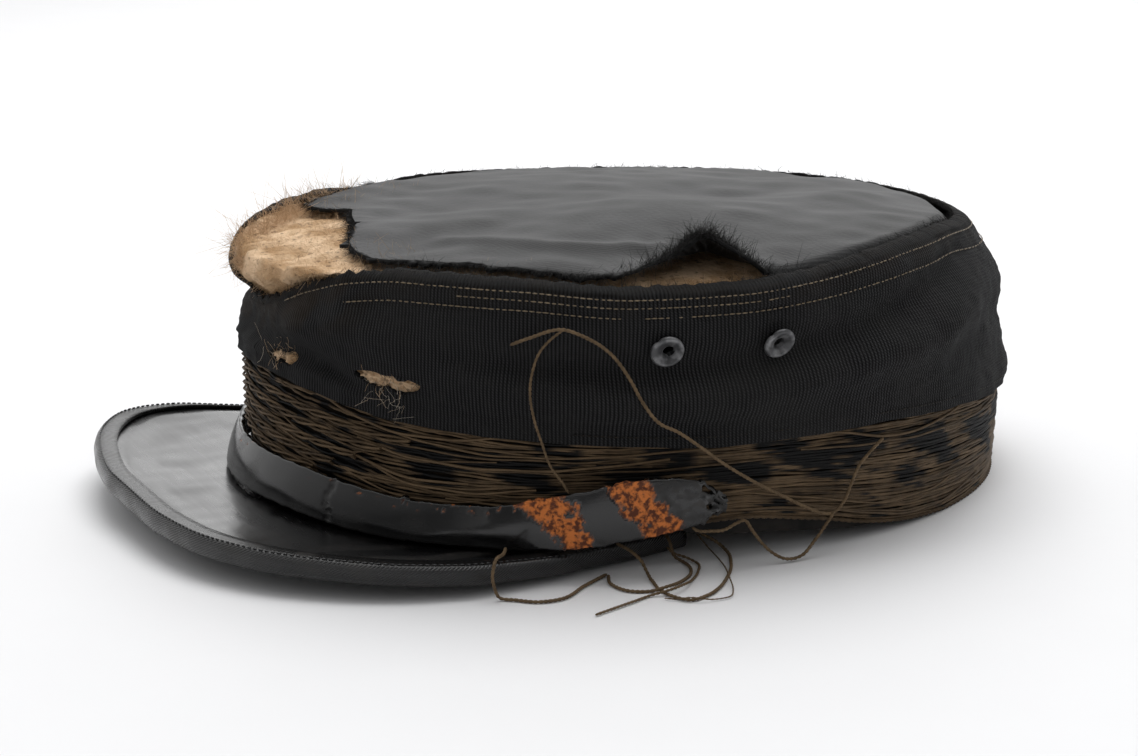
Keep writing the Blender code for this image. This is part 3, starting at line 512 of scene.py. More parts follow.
def wadding_sections(angle):
    """Sections through the wadding, from the middle of its top to the middle of its floor."""
    bare, seam = cap("bare", angle), cap("seam", angle)
    drop = TOP_CLOTH + CLEARANCE
    edge = oval(angle, seam_out(angle), 0) + (0, MIDDLE_Y, 0)
    middle_top = np.full(angle.shape, CROWN_HEIGHT + LIP_RISE + TOP_DOME - drop)
    section = [stack(0, -MIDDLE_Y, middle_top)]
    for share in (0.3, 0.55, 0.75, 0.88):
        spot = edge * share
        height = top_height(angle, np.full(angle.shape, share)) - drop
        section.append(stack(spot[..., 0], spot[..., 1] - MIDDLE_Y, height))
    inside = -cap("inset", angle) - lip_turn(angle) - SIDE_CLOTH - 2 * CLEARANCE
    inner = oval(angle, inside, 0) + (0, MIDDLE_Y, 0)
    share_inside = np.linalg.norm(inner, axis=-1) / np.linalg.norm(edge, axis=-1)
    under_top = top_height(angle, share_inside) - drop - 3 * CLEARANCE
    above_lip = seam + LIP_RISE + 2 * CLEARANCE
    corner = np.maximum(cap("top", angle) - drop, above_lip + CLEARANCE)
    from_bulge = (angle + 180) % 360 - 180 + 32
    bulge = WADDING_BULGE * (np.exp(-((from_bulge / 24) ** 2)) - 0.5)
    over = ease((bare - 0.55) / 0.45)
    whole = [under_top - step * WADDING_DEPTH for step in (0.0, 0.2, 0.4, 0.6)]
    torn = [
        blend(above_lip, corner, 0.86),
        blend(above_lip, corner, 0.40),
        above_lip,
        seam - 0.5 * WADDING_DEPTH,
    ]
    outs = [
        blend(inside, -0.5 * WADDING_BULGE + bulge / 2, over),
        blend(inside, bulge, over),
        inside,
        inside - 0.7 * FOLD_DEPTH,
    ]
    for out, height_whole, height_torn in zip(outs, whole, torn):
        section.append(oval(angle, out, blend(height_whole, height_torn, bare)))
    floor = CROWN_HEIGHT + LIP_RISE - TOP_CLOTH - WADDING_DEPTH
    low = np.minimum(floor, seam) - 0.4 * WADDING_DEPTH * (1 - bare)
    section.append(oval(angle, inside - 2 * WADDING_DEPTH, low))
    section.append(stack(0, -MIDDLE_Y, np.full(angle.shape, floor + TOP_DOME)))
    return np.stack(section)


def along_rows(rows, places):
    """Points of a grid of rows, read between its rows."""
    i = np.minimum(places.astype(int), len(rows) - 2)
    part = (places - i)[:, None, None]
    return rows[i] * (1 - part) + rows[i + 1] * part


def band_out(angle, share):
    """How far out the band's face lies, share 0 at the rim and 1 under the hem."""
    wave = np.sin(np.radians(angle * BAND_WAVES)) * np.sin(math.pi * share)
    return -SIDE_CLOTH - 2 * CLEARANCE - BAND_TAPER * (1 - share) - BAND_WAVE * wave


def band_point(angle, share, out=0.0):
    """The outer face of the band."""
    top = cap("hem", angle) + HEM_OVERLAP
    return oval(angle, band_out(angle, share) + out, blend(cap("rim", angle), top, share))


def visor_edge(share):
    """The lower outer edge of the bound visor at a share of the way round it."""
    across, ahead, lift = (visor_read(name, share) for name in ("across", "ahead", "lift"))
    return stack(across * VISOR_HALF_WIDTH, -ahead * FRONT_REACH - MIDDLE_Y, lift * CROWN_HEIGHT)


def visor_square(share):
    """The level direction square to the visor's outline, pointing out."""
    step = 0.004
    run = visor_edge(np.minimum(share + step, 1.0)) - visor_edge(np.maximum(share - step, 0.0))
    return unit(stack(-run[..., 1], run[..., 0], 0))


def visor_point(share, out):
    """The upper face of the visor, out 0 at its root under the band and 1 at its bound edge."""
    share, out = np.broadcast_arrays(np.asarray(share, float), np.asarray(out, float))
    root, sink, lap = (visor_read(name, share) for name in ("root", "sink", "lap"))
    lap = lap * HALF_WIDTH
    height = cap("rim", root) - sink * CROWN_HEIGHT - CLEARANCE
    inner = oval(root, band_out(root, 0.0) - lap, height)
    face = BINDING_WALL + CLEARANCE
    outer = visor_edge(share) - visor_square(share) * face
    outer[..., 2] += face + VISOR_THICKNESS
    point = blend(inner, outer, out[..., None])
    run = np.linalg.norm(outer - inner, axis=-1)
    under = np.minimum((lap + 2 * CLEARANCE) / run, 0.75)
    point[..., 2] = blend(inner[..., 2], outer[..., 2], np.maximum(0.0, (out - under) / (1 - under)))
    return point


def visor_normal(share, out):
    """The upward normal of the visor's upper face."""
    step = 0.01
    along = visor_point(np.minimum(share + step, 1.0), out) - visor_point(np.maximum(share - step, 0.0), out)
    across = visor_point(share, out) - visor_point(share, out - step)
    up = unit(np.cross(across, along))
    return np.where(up[..., 2:] > 0, up, -up)


def strap_point(angle, share, out=0.0):
    """The inner face of the strap, share 0 at its lower edge and 1 at its upper edge."""
    width = STRAP_WIDTH * strap_read("width", angle)
    height = strap_read("middle", angle) * CROWN_HEIGHT + width * (share - 0.5)
    away = band_out(angle, STRAP_BESIDE) + STRAP_GAP + STRAP_BOW * np.sin(math.pi * np.clip(share, 0, 1))
    away = away + strap_read("lift", angle) * STRAP_LIFT
    away = away + strap_read("lean", angle) * STRAP_WIDTH * (1 - share)
    return oval(angle, away + out, height)


# Meshes


def shown(name, data):
    """A new object in the scene."""
    item = bpy.data.objects.new(name, data)
    bpy.context.scene.collection.objects.link(item)
    return item


def point_values(mesh, name, values):
    """Give a mesh's points a named value each."""
    layer = mesh.attributes.new(name, "FLOAT", "POINT")
    layer.data.foreach_set("value", np.array(values, np.float32).ravel())


def surface(name, points, closed=False, uv=None, facts=None, keep=None):
    """A mesh over a grid of points, rows by columns, with UVs in metres and named point values."""
    rows, cols = points.shape[:2]
    index = np.arange(rows * cols).reshape(rows, cols)
    right = np.roll(index, -1, axis=1) if closed else index[:, 1:]
    left = index if closed else index[:, :-1]
    quads = np.stack([left[:-1], right[:-1], right[1:], left[1:]], -1).reshape(-1, 4)
    if keep is not None:
        quads = quads[keep.reshape(-1)[quads].any(axis=1)]
    mesh = bpy.data.meshes.new(name)
    mesh.from_pydata(points.reshape(-1, 3), [], quads.tolist())
    for fact, values in (facts or {}).items():
        point_values(mesh, fact, np.broadcast_to(values, (rows, cols)))
    if uv is not None:
        across, up = (np.broadcast_to(part, (rows, cols)).ravel() for part in uv)
        corners = np.empty(len(mesh.loops), np.int32)
        mesh.loops.foreach_get("vertex_index", corners)
        pairs = np.stack([across[corners], up[corners]], -1)
        if closed:
            quad_u = pairs[:, 0].reshape(-1, 4)
            lap = across.max() + across.reshape(rows, cols)[0, 1]
            quad_u[(quad_u.max(1, keepdims=True) - quad_u) > lap / 2] += lap
        mesh.uv_layers.new(name="UVMap").data.foreach_set("uv", pairs.ravel().astype(np.float32))
    loose = bmesh.new()
    loose.from_mesh(mesh)
    bmesh.ops.delete(loose, geom=[v for v in loose.verts if not v.link_faces], context="VERTS")
    loose.to_mesh(mesh)
    loose.free()
    mesh.shade_smooth()
    return shown(name, mesh)


def merged(item, reach=0.000002, outward=False):
    """Join points that lie within reach of each other, and turn the faces outwards where asked."""
    tidy = bmesh.new()
    tidy.from_mesh(item.data)
    bmesh.ops.remove_doubles(tidy, verts=tidy.verts, dist=reach)
    if outward:
        bmesh.ops.recalc_face_normals(tidy, faces=tidy.faces)
    tidy.to_mesh(item.data)
    tidy.free()
    item.data.shade_smooth()


def settled(item):
    """Turn an object's live modifiers into its plain mesh."""
    graph = bpy.context.evaluated_depsgraph_get()
    mesh = bpy.data.meshes.new_from_object(item.evaluated_get(graph))
    item.modifiers.clear()
    item.data = mesh
    mesh.name = item.name
    return item


def walled(item, thickness, material, offset=-1.0):
    """Give an open surface a wall and its material."""
    item.data.materials.append(material)
    wall = item.modifiers.new("wall", "SOLIDIFY")
    wall.thickness = thickness
    wall.offset = offset
    return settled(item)


def finished(node, material):
    """Give a solid of the frame the finish of the piece that it is."""
    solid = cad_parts[node]
    solid.data.materials.clear()
    solid.data.materials.append(material)


def placed(item, slot, *nodes):
    """Let a finished piece ride with the cap and stand for its solids."""
    for node in nodes:
        finished(node, item.data.materials[0])
    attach(item, "root")
    if nodes:
        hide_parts(*nodes)
    return item


def turned(name, profile, matrix, material, sides=40):
    """A body turned round a matrix's Z from a profile of (radius, height) that ends on the axis."""
    t = np.linspace(0, 2 * math.pi, sides, endpoint=False)
    points = np.stack([stack(r * np.cos(t), r * np.sin(t), np.full(sides, z)) for r, z in profile])
    item = surface(name, points, closed=True)
    item.data.transform(matrix)
    merged(item, 0.000001, outward=True)
    item.data.materials.append(material)
    return item


def strands_mesh(name, lines):
    """A mesh of bare edges from (points, radius, tone, coat) lines, for the strand tree."""
    verts, edges = [], []
    facts = {"thick": [], "tone": [], "coat": []}
    for points, *values in lines:
        start = len(verts)
        count = len(points)
        verts.extend(points)
        edges.extend((start + i, start + i + 1) for i in range(count - 1))
        for fact, value in zip(facts, (*values, 0.0)):
            facts[fact].extend(np.broadcast_to(value, count))
    mesh = bpy.data.meshes.new(name)
    mesh.from_pydata(verts, edges, [])
    for fact, values in facts.items():
        point_values(mesh, fact, values)
    return shown(name, mesh)


def distances(points):
    """How far along a line each of its points lies."""
    return np.concatenate([[0], np.cumsum(np.linalg.norm(np.diff(points, axis=0), axis=1))])


def smooth_line(points, step):
    """A smooth line through hand-chosen points, read at even steps."""
    points = np.array(points, float)
    marks = distances(points)
    fine = np.linspace(0, marks[-1], int(marks[-1] / step) + 2)
    slope = np.gradient(points, marks, axis=0)
    i = np.clip(np.searchsorted(marks, fine, side="right") - 1, 0, len(marks) - 2)
    span = (marks[i + 1] - marks[i])[:, None]
    u = (fine[:, None] - marks[i][:, None]) / span
    return between_knots(u, span, points[i], points[i + 1], slope[i], slope[i + 1])


def plied(name, line, radius, material, lay=0.0022, sides=10):
    """A two-ply thread along a line: a tube with two lobes that turn round it."""
    ahead = unit(np.gradient(line, axis=0))
    up = np.zeros_like(line)
    up[0] = unit(np.cross(ahead[0], (0.3, 0.2, 1.0)))
    for i in range(1, len(line)):
        up[i] = unit(up[i - 1] - ahead[i] * np.dot(up[i - 1], ahead[i]))
    aside = np.cross(ahead, up)
    run = distances(line)
    t = np.linspace(0, 2 * math.pi, sides, endpoint=False)
    lobes = 0.62 + 0.38 * np.abs(np.cos(t))
    taper = np.clip(np.minimum(run, run[-1] - run) / (2 * radius) + 0.25, 0, 1)
    angle = t[None, :] + (run / lay * 2 * math.pi)[:, None]
    reach = (radius * lobes)[None, :] * taper[:, None]
    points = line[:, None] + up[:, None] * (np.cos(angle) * reach)[..., None]
    points = points + aside[:, None] * (np.sin(angle) * reach)[..., None]
    ends = [np.repeat(line[:1, None], sides, 1), np.repeat(line[-1:, None], sides, 1)]
    points = np.concatenate([ends[0], points, ends[1]])
    item = surface(name, points, closed=True, facts={"tone": np.full(points.shape[:2], 0.5)})
    merged(item, 0.0000005, outward=True)
    item.data.materials.append(material)
    return item


# Node trees


class Wiring:
    """Adds nodes to a tree and joins them."""

    def __init__(self, tree):
        self.tree = tree

    def fill(self, node, links):
        """Set a node's inputs, by name or number, to values or join them to sockets."""
        for key, value in links.items():
            if isinstance(value, bpy.types.NodeSocket):
                self.tree.links.new(value, node.inputs[key])
            else:
                node.inputs[key].default_value = value

    def add(self, kind, links=None, **settings):
        """A node with its settings and its inputs."""
        node = self.tree.nodes.new(kind)
        for key, value in settings.items():
            setattr(node, key, value)
        self.fill(node, links or {})
        return node

    def maths(self, kind, a, b=0.0, c=0.0):
        """The result of one Math node."""
        return self.add("ShaderNodeMath", {0: a, 1: b, 2: c}, operation=kind).outputs[0]

    def mix(self, factor, a, b):
        """A mix of two colours, each a socket or a colour property."""
        a, b = (part if isinstance(part, bpy.types.NodeSocket) else (*part, 1.0) for part in (a, b))
        return self.add("ShaderNodeMix", {0: factor, 6: a, 7: b}, data_type="RGBA").outputs[2]

    def fact(self, name):
        """A named point value."""
        return self.add("ShaderNodeAttribute", attribute_name=name).outputs["Fac"]

    def place(self, kind="Object"):
        """The object's own coordinates, or its UVs."""
        return self.add("ShaderNodeTexCoord").outputs[kind]

    def group(self, tree, links):
        """A shared node group, set up for one material."""
        return self.add("ShaderNodeGroup", links, node_tree=tree).outputs

    def patches(self, scale, low, high):
        """A mask of patches over the object."""
        links = {"Vector": self.place(), "Scale": scale, "Low": low, "High": high}
        return self.group(patch_group(), links)[0]

    def fibres(self, place, scale, stretch=(1.0, 1.0, 1.0)):
        """The height of fine fibres."""
        return self.group(fibre_group(), {"Vector": place, "Scale": scale, "Stretch": stretch})[0]

    def bump(self, height, distance, strength):
        """A normal from a height."""
        links = {"Height": height, "Distance": distance, "Strength": strength}
        return self.add("ShaderNodeBump", links).outputs[0]


def shared(name, kind, inputs, outputs, draw):
    """A node group made once, with named sockets: draw gets its wiring, start and end."""
    tree = bpy.data.node_groups.get(name)
    if tree:
        return tree
    tree = bpy.data.node_groups.new(name, kind)
    for label, socket, default in inputs:
        made = tree.interface.new_socket(label, in_out="INPUT", socket_type=socket)
        if default is not None:
            made.default_value = default
    for label, socket in outputs:
        tree.interface.new_socket(label, in_out="OUTPUT", socket_type=socket)
    wire = Wiring(tree)
    draw(wire, wire.add("NodeGroupInput").outputs, wire.add("NodeGroupOutput"))
    return tree


FLOAT, WHOLE, VECTOR = "NodeSocketFloat", "NodeSocketInt", "NodeSocketVector"
GEOMETRY, FINISH = "NodeSocketGeometry", "NodeSocketMaterial"


def patch_group():
    """Patches from noise: a mask between two levels."""

    def draw(wire, start, end):
        links = {"Vector": start["Vector"], "Scale": start["Scale"], "Detail": 6.0}
        noise = wire.add("ShaderNodeTexNoise", links).outputs["Fac"]
        levels = {"Value": noise, "From Min": start["Low"], "From Max": start["High"]}
        mask = wire.add("ShaderNodeMapRange", levels, interpolation_type="SMOOTHSTEP")
        wire.fill(end, {"Mask": mask.outputs[0]})

    inputs = [("Vector", VECTOR, None), ("Scale", FLOAT, 60.0), ("Low", FLOAT, 0.45), ("High", FLOAT, 0.6)]
    return shared("Patches", "ShaderNodeTree", inputs, [("Mask", FLOAT)], draw)


def rib_group():
    """Fine ribs across a surface whose UVs are in metres."""

    def draw(wire, start, end):
        split = wire.add("ShaderNodeSeparateXYZ", {0: start["Vector"]}).outputs
        links = {"Vector": start["Vector"], "Scale": 90.0, "Detail": 2.0}
        drift = wire.add("ShaderNodeTexNoise", links).outputs["Fac"]
        place = wire.maths("MULTIPLY_ADD", drift, start["Wander"], split[0])
        turn = wire.maths("MULTIPLY", wire.maths("DIVIDE", place, start["Pitch"]), 2 * math.pi)
        rib = wire.maths("MULTIPLY_ADD", wire.maths("SINE", turn), 0.5, 0.5)
        beat = wire.maths("MULTIPLY", wire.maths("DIVIDE", split[1], start["Pitch"]), 2.6 * math.pi)
        twill = wire.maths("MULTIPLY_ADD", wire.maths("SINE", wire.maths("ADD", beat, turn)), 0.25, 0.5)
        # Thread also serves the side cloth as its mask of painted light on ridges and painted shade in
        # grooves
        wire.fill(end, {"Height": rib, "Thread": wire.maths("MULTIPLY", rib, twill)})

    inputs = [("Vector", VECTOR, None), ("Pitch", FLOAT, 0.001), ("Wander", FLOAT, 0.0004)]
    return shared("Ribs", "ShaderNodeTree", inputs, [("Height", FLOAT), ("Thread", FLOAT)], draw)


def fibre_group():
    """Fine fibres: noise drawn out along one direction of the UVs or the object."""

    def draw(wire, start, end):
        links = {0: start["Vector"], 1: start["Stretch"]}
        drawn = wire.add("ShaderNodeVectorMath", links, operation="MULTIPLY").outputs[0]
        links = {"Vector": drawn, "Scale": start["Scale"], "Detail": 5.0, "Distortion": 0.6}
        wire.fill(end, {"Height": wire.add("ShaderNodeTexNoise", links).outputs["Fac"]})

    inputs = [("Vector", VECTOR, None), ("Scale", FLOAT, 800.0), ("Stretch", VECTOR, (1.0, 1.0, 1.0))]
    return shared("Fibres", "ShaderNodeTree", inputs, [("Height", FLOAT)], draw)


def given_material(wire, start, end, geometry):
    """End a tree: make what it laid real and give it the tree's material."""
    real = wire.add("GeometryNodeRealizeInstances", {0: geometry}).outputs[0]
    done = wire.add("GeometryNodeSetMaterial", {"Geometry": real, "Material": start["Material"]})
    wire.fill(end, {0: done.outputs[0]})


def strand_tree():
    """Geometry nodes that turn bare edges into round strands."""

    def draw(wire, start, end):
        curve = wire.add("GeometryNodeMeshToCurve", {"Mesh": start["Edges"]}).outputs[0]
        thick = wire.add("GeometryNodeInputNamedAttribute", {"Name": "thick"}, data_type="FLOAT")
        radius = wire.maths("MULTIPLY", thick.outputs["Attribute"], start["Thickness"])
        ring = wire.add("GeometryNodeCurvePrimitiveCircle", {"Resolution": start["Sides"], "Radius": 1.0})
        links = {"Curve": curve, "Profile Curve": ring.outputs[0], "Scale": radius, "Fill Caps": True}
        given_material(wire, start, end, wire.add("GeometryNodeCurveToMesh", links).outputs[0])

    inputs = [("Edges", GEOMETRY, None), ("Thickness", FLOAT, 1.0), ("Sides", WHOLE, 4)]
    inputs.append(("Material", FINISH, None))
    return shared("Strands", "GeometryNodeTree", inputs, [("Strands", GEOMETRY)], draw)


def stitch_tree():
    """Geometry nodes that lay one stitch after another along bare edges."""

    def draw(wire, start, end):
        curve = wire.add("GeometryNodeMeshToCurve", {"Mesh": start["Path"]}).outputs[0]
        links = {"Curve": curve, "Length": start["Pitch"]}
        even = wire.add("GeometryNodeResampleCurve", links, mode="LENGTH").outputs[0]
        bead = wire.add("GeometryNodeMeshUVSphere", {"Segments": 6, "Rings": 5, "Radius": 0.5}).outputs[0]
        tangent = wire.add("GeometryNodeInputTangent").outputs[0]
        turn = wire.add("FunctionNodeAlignRotationToVector", {"Vector": tangent}, axis="X").outputs[0]
        few = wire.maths("SUBTRACT", 1.0, start["Unevenness"])
        many = wire.maths("ADD", 1.0, start["Unevenness"])
        links = {"Min": few, "Max": many, "Seed": start["Seed"]}
        change = wire.add("FunctionNodeRandomValue", links, data_type="FLOAT")
        long = wire.maths("MULTIPLY", start["Length"], change.outputs["Value"])
        size = wire.add("ShaderNodeCombineXYZ", {0: long, 1: start["Width"], 2: start["Width"]}).outputs[0]
        links = {"Points": even, "Instance": bead, "Rotation": turn, "Scale": size}
        given_material(wire, start, end, wire.add("GeometryNodeInstanceOnPoints", links).outputs[0])

    inputs = [("Path", GEOMETRY, None), ("Pitch", FLOAT, 0.002), ("Length", FLOAT, 0.0014)]
    inputs += [("Width", FLOAT, 0.0004), ("Unevenness", FLOAT, 0.15), ("Seed", WHOLE, 3)]
    inputs.append(("Material", FINISH, None))
    return shared("Stitch row", "GeometryNodeTree", inputs, [("Stitches", GEOMETRY)], draw)


def grown(item, tree, **settings):
    """Run a node tree on an object with its inputs set, and keep the plain mesh."""
    slot = item.modifiers.new("nodes", "NODES")
    slot.node_group = tree
    for socket in tree.interface.items_tree:
        if socket.item_type == "SOCKET" and socket.in_out == "INPUT" and socket.name in settings:
            slot[socket.identifier] = settings[socket.name]
    settled(item)
    item.data.shade_smooth()
    return item


def strands(name, lines, material, sides):
    """Lines made into round strands of one finish."""
    return grown(strands_mesh(name, lines), strand_tree(), Thickness=1.0, Sides=sides, Material=material)


# Finishes


def material(name, draw):
    """A material made once: draw gets its wiring and gives its Principled shader's inputs."""
    made = bpy.data.materials.get(name)
    if made:
        return made
    made = bpy.data.materials.new(name)
    made.use_nodes = True
    wire = Wiring(made.node_tree)
    shader = next(node for node in made.node_tree.nodes if node.type == "BSDF_PRINCIPLED")
    wire.fill(shader, draw(wire))
    return made


def ribbed_cloth():
    """Black cloth with fine ribs, dusty on its ridges and rusty where it is worn."""
    props = bpy.context.scene.cap_cloth

    def draw(wire):
        links = {"Vector": wire.place("UV"), "Pitch": props.rib_pitch}
        thread = wire.group(rib_group(), links)["Thread"]
        fine = wire.patches(420.0, 0.52, 0.70)
        # Painted light and shade: the ribs' ridges get the lighter colour and their grooves the dark cloth
        # shade
        shade = wire.mix(thread, props.cloth_shade, props.cloth_painted_ridge_light)
        dust = wire.maths("MULTIPLY", wire.patches(42.0, 0.40, 0.72), 0.35)
        dusty = wire.mix(dust, shade, props.dust_colour)
        speck = wire.mix(wire.maths("MULTIPLY", fine, 0.25), dusty, props.dust_colour)
        height = wire.maths("MULTIPLY_ADD", thread, 0.9, wire.maths("MULTIPLY", fine, 0.25))
        return {
            "Base Color": wire.mix(wire.maths("MULTIPLY", wire.fact("worn"), 0.55), speck, props.worn_colour),
            "Roughness": 0.75,
            "Specular IOR Level": 0.06,
            "Sheen Weight": 0.02,
            "Sheen Roughness": 0.4,
            "Normal": wire.bump(height, 0.0004, 1.0),
        }

    return material("side_faille", draw)


def top_cloth():
    """Smooth dark cloth with a grey sheen, rubbed and creased."""
    props = bpy.context.scene.cap_cloth

    def draw(wire):
        ribs = wire.group(rib_group(), {"Vector": wire.place(), "Pitch": 0.0009, "Wander": 0.0006})
        # Painted sheen: patches of the top cloth are painted the lighter sheen colour
        base = wire.mix(wire.patches(26.0, 0.38, 0.70), props.top_colour, props.top_sheen)
        height = wire.maths("MULTIPLY_ADD", ribs["Height"], 0.25, wire.fibres(wire.place(), 900.0))
        return {
            "Base Color": wire.mix(wire.maths("MULTIPLY", wire.fact("worn"), 0.8), base, props.cloth_shade),
            "Roughness": 0.50,
            "Specular IOR Level": 0.13,
            "Sheen Weight": 0.02,
            "Sheen Roughness": 0.35,
            "Normal": wire.bump(height, 0.00015, 0.7),
        }

    return material("top_satin", draw)


def wadding():
    """Tan cotton wadding, matted, with brown hollows."""
    props = bpy.context.scene.cap_wadding

    def draw(wire):
        patch = wire.patches(95.0, 0.36, 0.66)
        # Painted shade: where the lumps are low the wadding is painted its darker shade colour
        base = wire.mix(patch, props.shade, props.colour)
        speck = wire.maths("MULTIPLY", wire.patches(700.0, 0.56, 0.70), 0.55)
        height = wire.maths("MULTIPLY_ADD", patch, 1.2, wire.fibres(wire.place(), 1100.0))
        return {
            "Base Color": wire.mix(speck, base, props.dirt),
            "Roughness": 0.95,
            "Specular IOR Level": 0.1,
            "Normal": wire.bump(height, 0.0006, 0.9),
        }

    return material("cotton_wadding", draw)


def strand(name, colour, shade, roughness):
    """A thread or fibre whose tone runs from its shade to its colour."""

    def draw(wire):
        lit = wire.maths("MULTIPLY", wire.fact("tone"), 0.75)
        tone = wire.maths("MULTIPLY_ADD", wire.patches(600.0, 0.3, 0.7), 0.35, lit)
        return {
            "Base Color": wire.mix(tone, shade, colour),
            "Roughness": roughness,
            "Specular IOR Level": 0.2,
        }

    return material(name, draw)


def band_thread():
    """Brown thread, with a black woven coat left on it in patches."""
    props = bpy.context.scene.cap_band

    def draw(wire):
        lit = wire.maths("MULTIPLY", wire.fact("tone"), 0.7)
        tone = wire.maths("MULTIPLY_ADD", wire.patches(260.0, 0.3, 0.72), 0.4, lit)
        brown = wire.mix(tone, props.thread_shade, props.thread_colour)
        return {
            "Base Color": wire.mix(wire.fact("coat"), brown, props.coat_colour),
            "Roughness": 0.62,
            "Specular IOR Level": 0.2,
            "Normal": wire.bump(wire.fibres(wire.place(), 1500.0), 0.0001, 0.7),
        }

    return material("band_thread", draw)


def band_ground():
    """The black backing behind the band's threads."""
    props = bpy.context.scene.cap_band

    def draw(wire):
        return {
            "Base Color": wire.mix(wire.patches(90.0, 0.45, 0.65), props.coat_colour, props.thread_shade),
            "Roughness": 0.85,
            "Specular IOR Level": 0.1,
        }

    return material("band_ground", draw)


def patent(name, roughness=0.12):
    """Black patent leather: glossy, finely scratched, raw and orange where its coat is gone."""
    props = bpy.context.scene.cap_leather

    def draw(wire):
        raw, scuff = wire.fact("raw"), wire.fact("scuff")
        scratch = wire.fibres(wire.place("UV"), 420.0, (0.12, 1.0, 1.0))
        flaked = wire.maths("MULTIPLY_ADD", wire.patches(320.0, 0.50, 0.64), 0.6, 0.3)
        dust = wire.mix(wire.maths("MULTIPLY", scuff, flaked), props.colour, props.dust)
        orange = wire.mix(wire.patches(800.0, 0.40, 0.60), props.raw_shade, props.raw_colour)
        worn = wire.maths("MULTIPLY_ADD", scuff, 0.38, roughness)
        dull = wire.maths("MULTIPLY_ADD", scratch, 0.16, worn)
        coatless = wire.maths("MULTIPLY", wire.maths("MAXIMUM", raw, scuff), 0.25)
        nap = wire.maths("MULTIPLY_ADD", raw, 2.2, 0.10)
        fibres = wire.maths("MULTIPLY", wire.fibres(wire.place(), 1300.0), nap)
        return {
            "Base Color": wire.mix(raw, dust, orange),
            "Roughness": wire.maths("MAXIMUM", dull, wire.maths("MULTIPLY", raw, 0.85)),
            "Specular IOR Level": 0.5,
            "Coat Weight": wire.maths("SUBTRACT", 0.25, coatless),
            "Coat Roughness": 0.12,
            "Normal": wire.bump(wire.maths("MULTIPLY_ADD", scratch, 0.22, fibres), 0.00025, 0.6),
        }

    return material(name, draw)


def binding_leather():
    """The binding's leather, with fine slanted ribs."""
    props = bpy.context.scene.cap_leather

    def draw(wire):
        links = {"Vector": wire.place("UV"), "Rotation": (0.0, 0.0, math.radians(52))}
        slanted = wire.add("ShaderNodeMapping", links).outputs[0]
        ribs = wire.group(rib_group(), {"Vector": slanted, "Pitch": 0.0007, "Wander": 0.0003})
        scuff = wire.fact("scuff")
        return {
            "Base Color": wire.mix(scuff, props.colour, props.dust),
            "Roughness": wire.maths("MULTIPLY_ADD", scuff, 0.35, 0.27),
            "Coat Weight": 0.15,
            "Coat Roughness": 0.2,
            "Normal": wire.bump(ribs["Height"], 0.00016, 0.8),
        }

    return material("binding_leather", draw)


def plain_leather():
    """Dark matte leather of the sweatband."""
    props = bpy.context.scene.cap_leather

    def draw(wire):
        return {
            "Base Color": wire.mix(wire.patches(120.0, 0.4, 0.7), props.colour, props.dust),
            "Roughness": 0.6,
            "Specular IOR Level": 0.2,
        }

    return material("sweatband_hide", draw)


def worn_metal():
    """Grey metal with black paint rubbed off its rim."""
    props = bpy.context.scene.cap_leather

    def draw(wire):
        return {
            "Base Color": wire.mix(wire.patches(380.0, 0.42, 0.62), props.metal_shade, props.metal),
            "Metallic": 0.55,
            "Roughness": 0.42,
        }

    return material("rubbed_metal", draw)


def pale_floor():
    """The floor's finish, with a little unevenness."""
    props = bpy.context.scene.cap_stage

    def draw(wire):
        low = [part * 0.99 for part in props.floor_colour]
        return {
            "Base Color": wire.mix(wire.patches(30.0, 0.3, 0.7), low, props.floor_colour),
            "Roughness": 0.7,
        }

    return material("pale_floor", draw)


# Sizes and colours a user would change


def metres(name, description, default):
    """A length property."""
    return FloatProperty(
        name=name, description=description, default=default, min=0.0, subtype="DISTANCE", unit="LENGTH"
    )


def tint(name, description, default):
    """A colour property."""
    return FloatVectorProperty(
        name=name, description=description, default=default, size=3, min=0.0, max=1.0, subtype="COLOR"
    )


def watts(name, description, default):
    """A lamp's power property."""
    return FloatProperty(
        name=name, description=description, default=default, min=0.0, subtype="POWER", unit="POWER"
    )


class CapCloth(bpy.types.PropertyGroup):
    """Sizes and colours of the side and top cloth and their stitches."""

    rib_pitch: metres("Rib pitch", "Distance from one rib of the side cloth to the next", 0.00084)
    fray_length: metres("Fray length", "Longest thread that stands out of a torn edge", 0.0030)
    stitch_pitch: metres("Stitch pitch", "Distance from one stitch to the next", 0.0015)
    stitch_length: metres("Stitch length", "Length of one stitch", 0.0012)
    stitch_width: metres("Stitch width", "Thickness of the stitching thread", 0.00030)
    # Painted light on the ridges of the side cloth's ribs, and painted shade in their grooves
    cloth_painted_ridge_light: tint("Cloth", "Ridges of the ribbed cloth", (0.060, 0.060, 0.062))
    cloth_shade: tint("Cloth shade", "Grooves of the ribbed cloth", (0.0035, 0.0035, 0.0037))
    dust_colour: tint("Dust", "Dust on the cloth", (0.026, 0.025, 0.024))
    worn_colour: tint("Worn cloth", "Rusty brown of worn cloth", (0.022, 0.015, 0.009))
    top_colour: tint("Top", "Dark parts of the top cloth", (0.004, 0.004, 0.0042))
    # Painted sheen: the lighter grey painted on patches of the top cloth
    top_sheen: tint("Top sheen", "Rubbed parts of the top cloth", (0.026, 0.026, 0.027))
    stitch_colour: tint("Stitches", "Bright side of the stitching thread", (0.26, 0.20, 0.13))
    stitch_shade: tint("Stitch shade", "Dark side of the stitching thread", (0.03, 0.022, 0.014))


